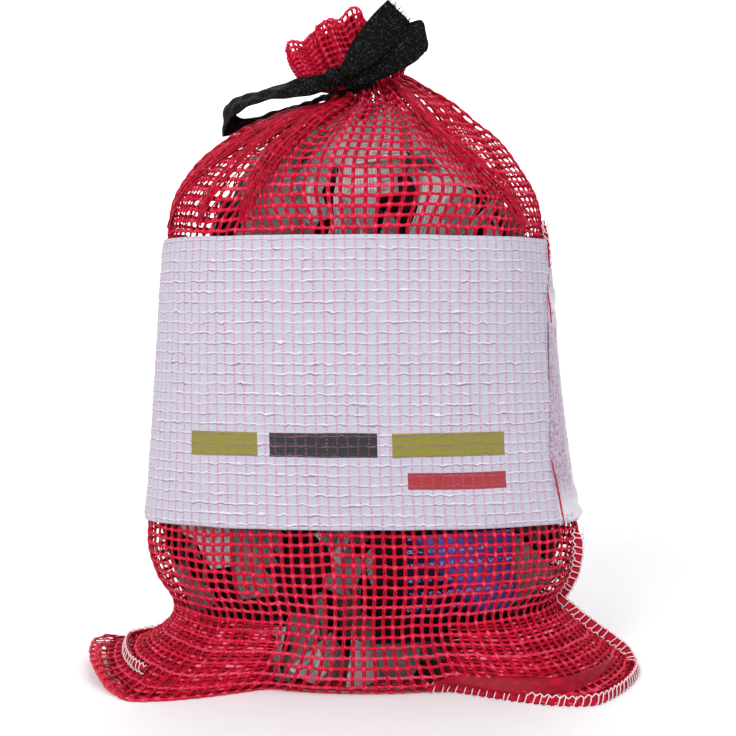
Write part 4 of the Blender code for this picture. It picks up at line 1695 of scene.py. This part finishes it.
class SACK_OT_sew_seam(bpy.types.Operator):
    """Sews the overlocked seam at the right and at both corners, over the net and label."""

    bl_idname = "sack.sew_seam"
    bl_label = "Sew seam"

    def execute(self, context):
        right = seam_route()
        random = np.random.default_rng(31)
        white = sewing_thread()
        red = bpy.data.materials["Polypropylene_tape_woven_red"]
        heights = right[0][:, 2]
        low = slice(int(np.argmax(heights < BAND_BOTTOM - 1.0)), None)
        high = slice(0, int(np.argmax(heights <= BAND_TOP - 13.0)))
        stretches = (
            (*(rows[low] for rows in right), HEM_WIDTH, ""),
            (*(rows[high] for rows in right), TOP_HEM_WIDTH, "_top"),
            (*left_tip_route(), TIP_HEM_WIDTH, "_left"),
        )
        for *stretch, suffix in stretches:
            hem = sew_hem(*stretch, red)
            rungs = overlock_rungs(*stretch, random, white)
            chain = overlock_chain(*stretch, random, white)
            for piece in (hem, rungs, chain):
                piece.name = piece.name.split(".")[0] + suffix
            ride(hem, slot="net")
            ride(rungs, chain, slot="overlock")
        ride(seam_of_film(crinkled_film()), slot="label")
        tuck = corner_tuck(red)
        ride(red_seam_thread(red), tuck, slot="net")
        return {"FINISHED"}


class SACK_OT_tie_ribbon(bpy.types.Operator):
    """Ties the ribbon round the neck."""

    bl_idname = "sack.tie_ribbon"
    bl_label = "Tie ribbon"

    def execute(self, context):
        finish = ribbon_weave()
        pieces = (
            ribbon_strap("ribbon_loop", LOOP_STOPS, 0.8, finish),
            ribbon_strap("ribbon_fold", FOLD_STOPS, 1.6, finish),
            ribbon_strap("ribbon_end", END_STOPS, 1.4, finish),
            ribbon_collar(finish), ribbon_knot(finish), frayed_end(finish),
        )
        for piece in pieces:
            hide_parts("tie_ribbon")
        ride(*pieces, slot="ribbon")
        return {"FINISHED"}


# Name, place, aim, size, power and colour of each soft box, in metres and watts
SOFT_BOXES = (
    ("key", (-0.75, -1.15, 1.25), (0.0, 0.0, 0.15), 0.8, 15.0, "#FFFFFF"),
    ("fill", (1.2, -0.9, 0.8), (0.0, 0.0, 0.15), 0.9, 4.5, "#F6F8FF"),
    ("back", (0.1, 1.0, 1.3), (0.0, 0.0, 0.2), 0.9, 7.0, "#FFFFFF"),
    ("wall", (0.0, 1.6, 2.2), (0.0, 3.6, 0.9), 1.6, 60.0, "#FFFFFF"),
)


def soft_light(name, place, aim, size, power, colour):
    """A square soft box that looks at a point."""
    light = bpy.data.lights.new(name, "AREA")
    light.shape = "SQUARE"
    light.size = size
    light.energy = power
    light.color = linear(colour)[:3]
    made = bpy.data.objects.new(name, light)
    bpy.context.collection.objects.link(made)
    direction = np.array(aim) - np.array(place)
    flat = math.hypot(direction[0], direction[1])
    turn = math.atan2(direction[1], direction[0]) - math.pi / 2
    made.location = place
    made.rotation_euler = (math.atan2(flat, -direction[2]), 0.0, turn)


def stage_backdrop():
    """A sheet of card that lies under the sack and curves up behind it."""
    bpy.ops.object.select_all(action="DESELECT")
    bpy.ops.mesh.primitive_plane_add(size=6.0, location=(0.0, 0.6, 0.0))
    card = bpy.context.object
    card.name = "stage_floor"
    bpy.ops.object.transform_apply(location=True, rotation=True, scale=True)
    vertices = card.data.vertices
    rear = max(vertex.co.y for vertex in vertices)
    for vertex in vertices:
        vertex.select = vertex.co.y > rear - 0.01
    for edge in card.data.edges:
        edge.select = all(vertices[i].select for i in edge.vertices)
    for face in card.data.polygons:
        face.select = False
    bpy.ops.object.mode_set(mode="EDIT")
    bpy.ops.mesh.select_mode(type="EDGE")
    bpy.ops.mesh.extrude_region_move(TRANSFORM_OT_translate={"value": (0.0, 0.0, 4.0)})
    bpy.ops.object.mode_set(mode="OBJECT")
    curve = card.modifiers.new("Curve", "BEVEL")
    curve.width = 1.6
    curve.segments = 24
    curve.limit_method = "ANGLE"
    bpy.ops.object.modifier_apply(modifier=curve.name)
    bpy.ops.object.shade_smooth()
    card.data.materials.append(plain_board())


class SACK_OT_set_stage(bpy.types.Operator):
    """Sets the floor, the lights and the camera."""

    bl_idname = "sack.set_stage"
    bl_label = "Set stage"

    def execute(self, context):
        settings = context.scene.sack_stage
        stage_backdrop()
        for box in SOFT_BOXES:
            soft_light(*box)
        context.scene.view_settings.view_transform = "Standard"
        world = bpy.data.worlds.new("Studio")
        context.scene.world = world
        world.use_nodes = True
        ground = world.node_tree.nodes["Background"]
        feed(world.node_tree, ground, {"Color": linear("#FFFFFF"), "Strength": 0.75})
        camera = bpy.data.cameras.new("camera")
        camera.sensor_width = 36.0
        camera.lens = settings.lens
        viewer = bpy.data.objects.new("camera", camera)
        context.collection.objects.link(viewer)
        viewer.location = (0.0, -settings.distance, settings.height)
        viewer.rotation_euler = (math.pi / 2 - settings.pitch, 0.0, 0.0)
        context.scene.camera = viewer
        return {"FINISHED"}


class SACK_PT_panel(bpy.types.Panel):
    """Lists the settings of the sack and the steps that make it."""

    bl_idname = "SACK_PT_panel"
    bl_label = "Net sack"
    bl_space_type = "VIEW_3D"
    bl_region_type = "UI"
    bl_category = "Net sack"

    def draw(self, context):
        column = self.layout.column()
        for pointer in GROUPS:
            group = getattr(context.scene, pointer)
            for name in group.__annotations__:
                column.prop(group, name)
        for name in STEPS:
            column.operator("sack." + name)


STEPS = ("stuff_paper", "weave_net", "press_label", "sew_seam", "tie_ribbon", "set_stage")
GROUPS = {
    "sack_net": NetSettings, "sack_label": LabelSettings, "sack_paper": PaperSettings,
    "sack_ribbon": RibbonSettings, "sack_stage": StageSettings,
}
CLASSES = (
    *GROUPS.values(), SACK_OT_stuff_paper, SACK_OT_weave_net, SACK_OT_press_label,
    SACK_OT_sew_seam, SACK_OT_tie_ribbon, SACK_OT_set_stage, SACK_PT_panel,
)


def register():
    for item in CLASSES:
        bpy.utils.register_class(item)
    for pointer, group in GROUPS.items():
        setattr(bpy.types.Scene, pointer, bpy.props.PointerProperty(type=group))


def unregister():
    for pointer in GROUPS:
        delattr(bpy.types.Scene, pointer)
    for item in reversed(CLASSES):
        bpy.utils.unregister_class(item)


def main():
    register()
    for name in STEPS:
        getattr(bpy.ops.sack, name)()


if __name__ == "__main__":
    main()
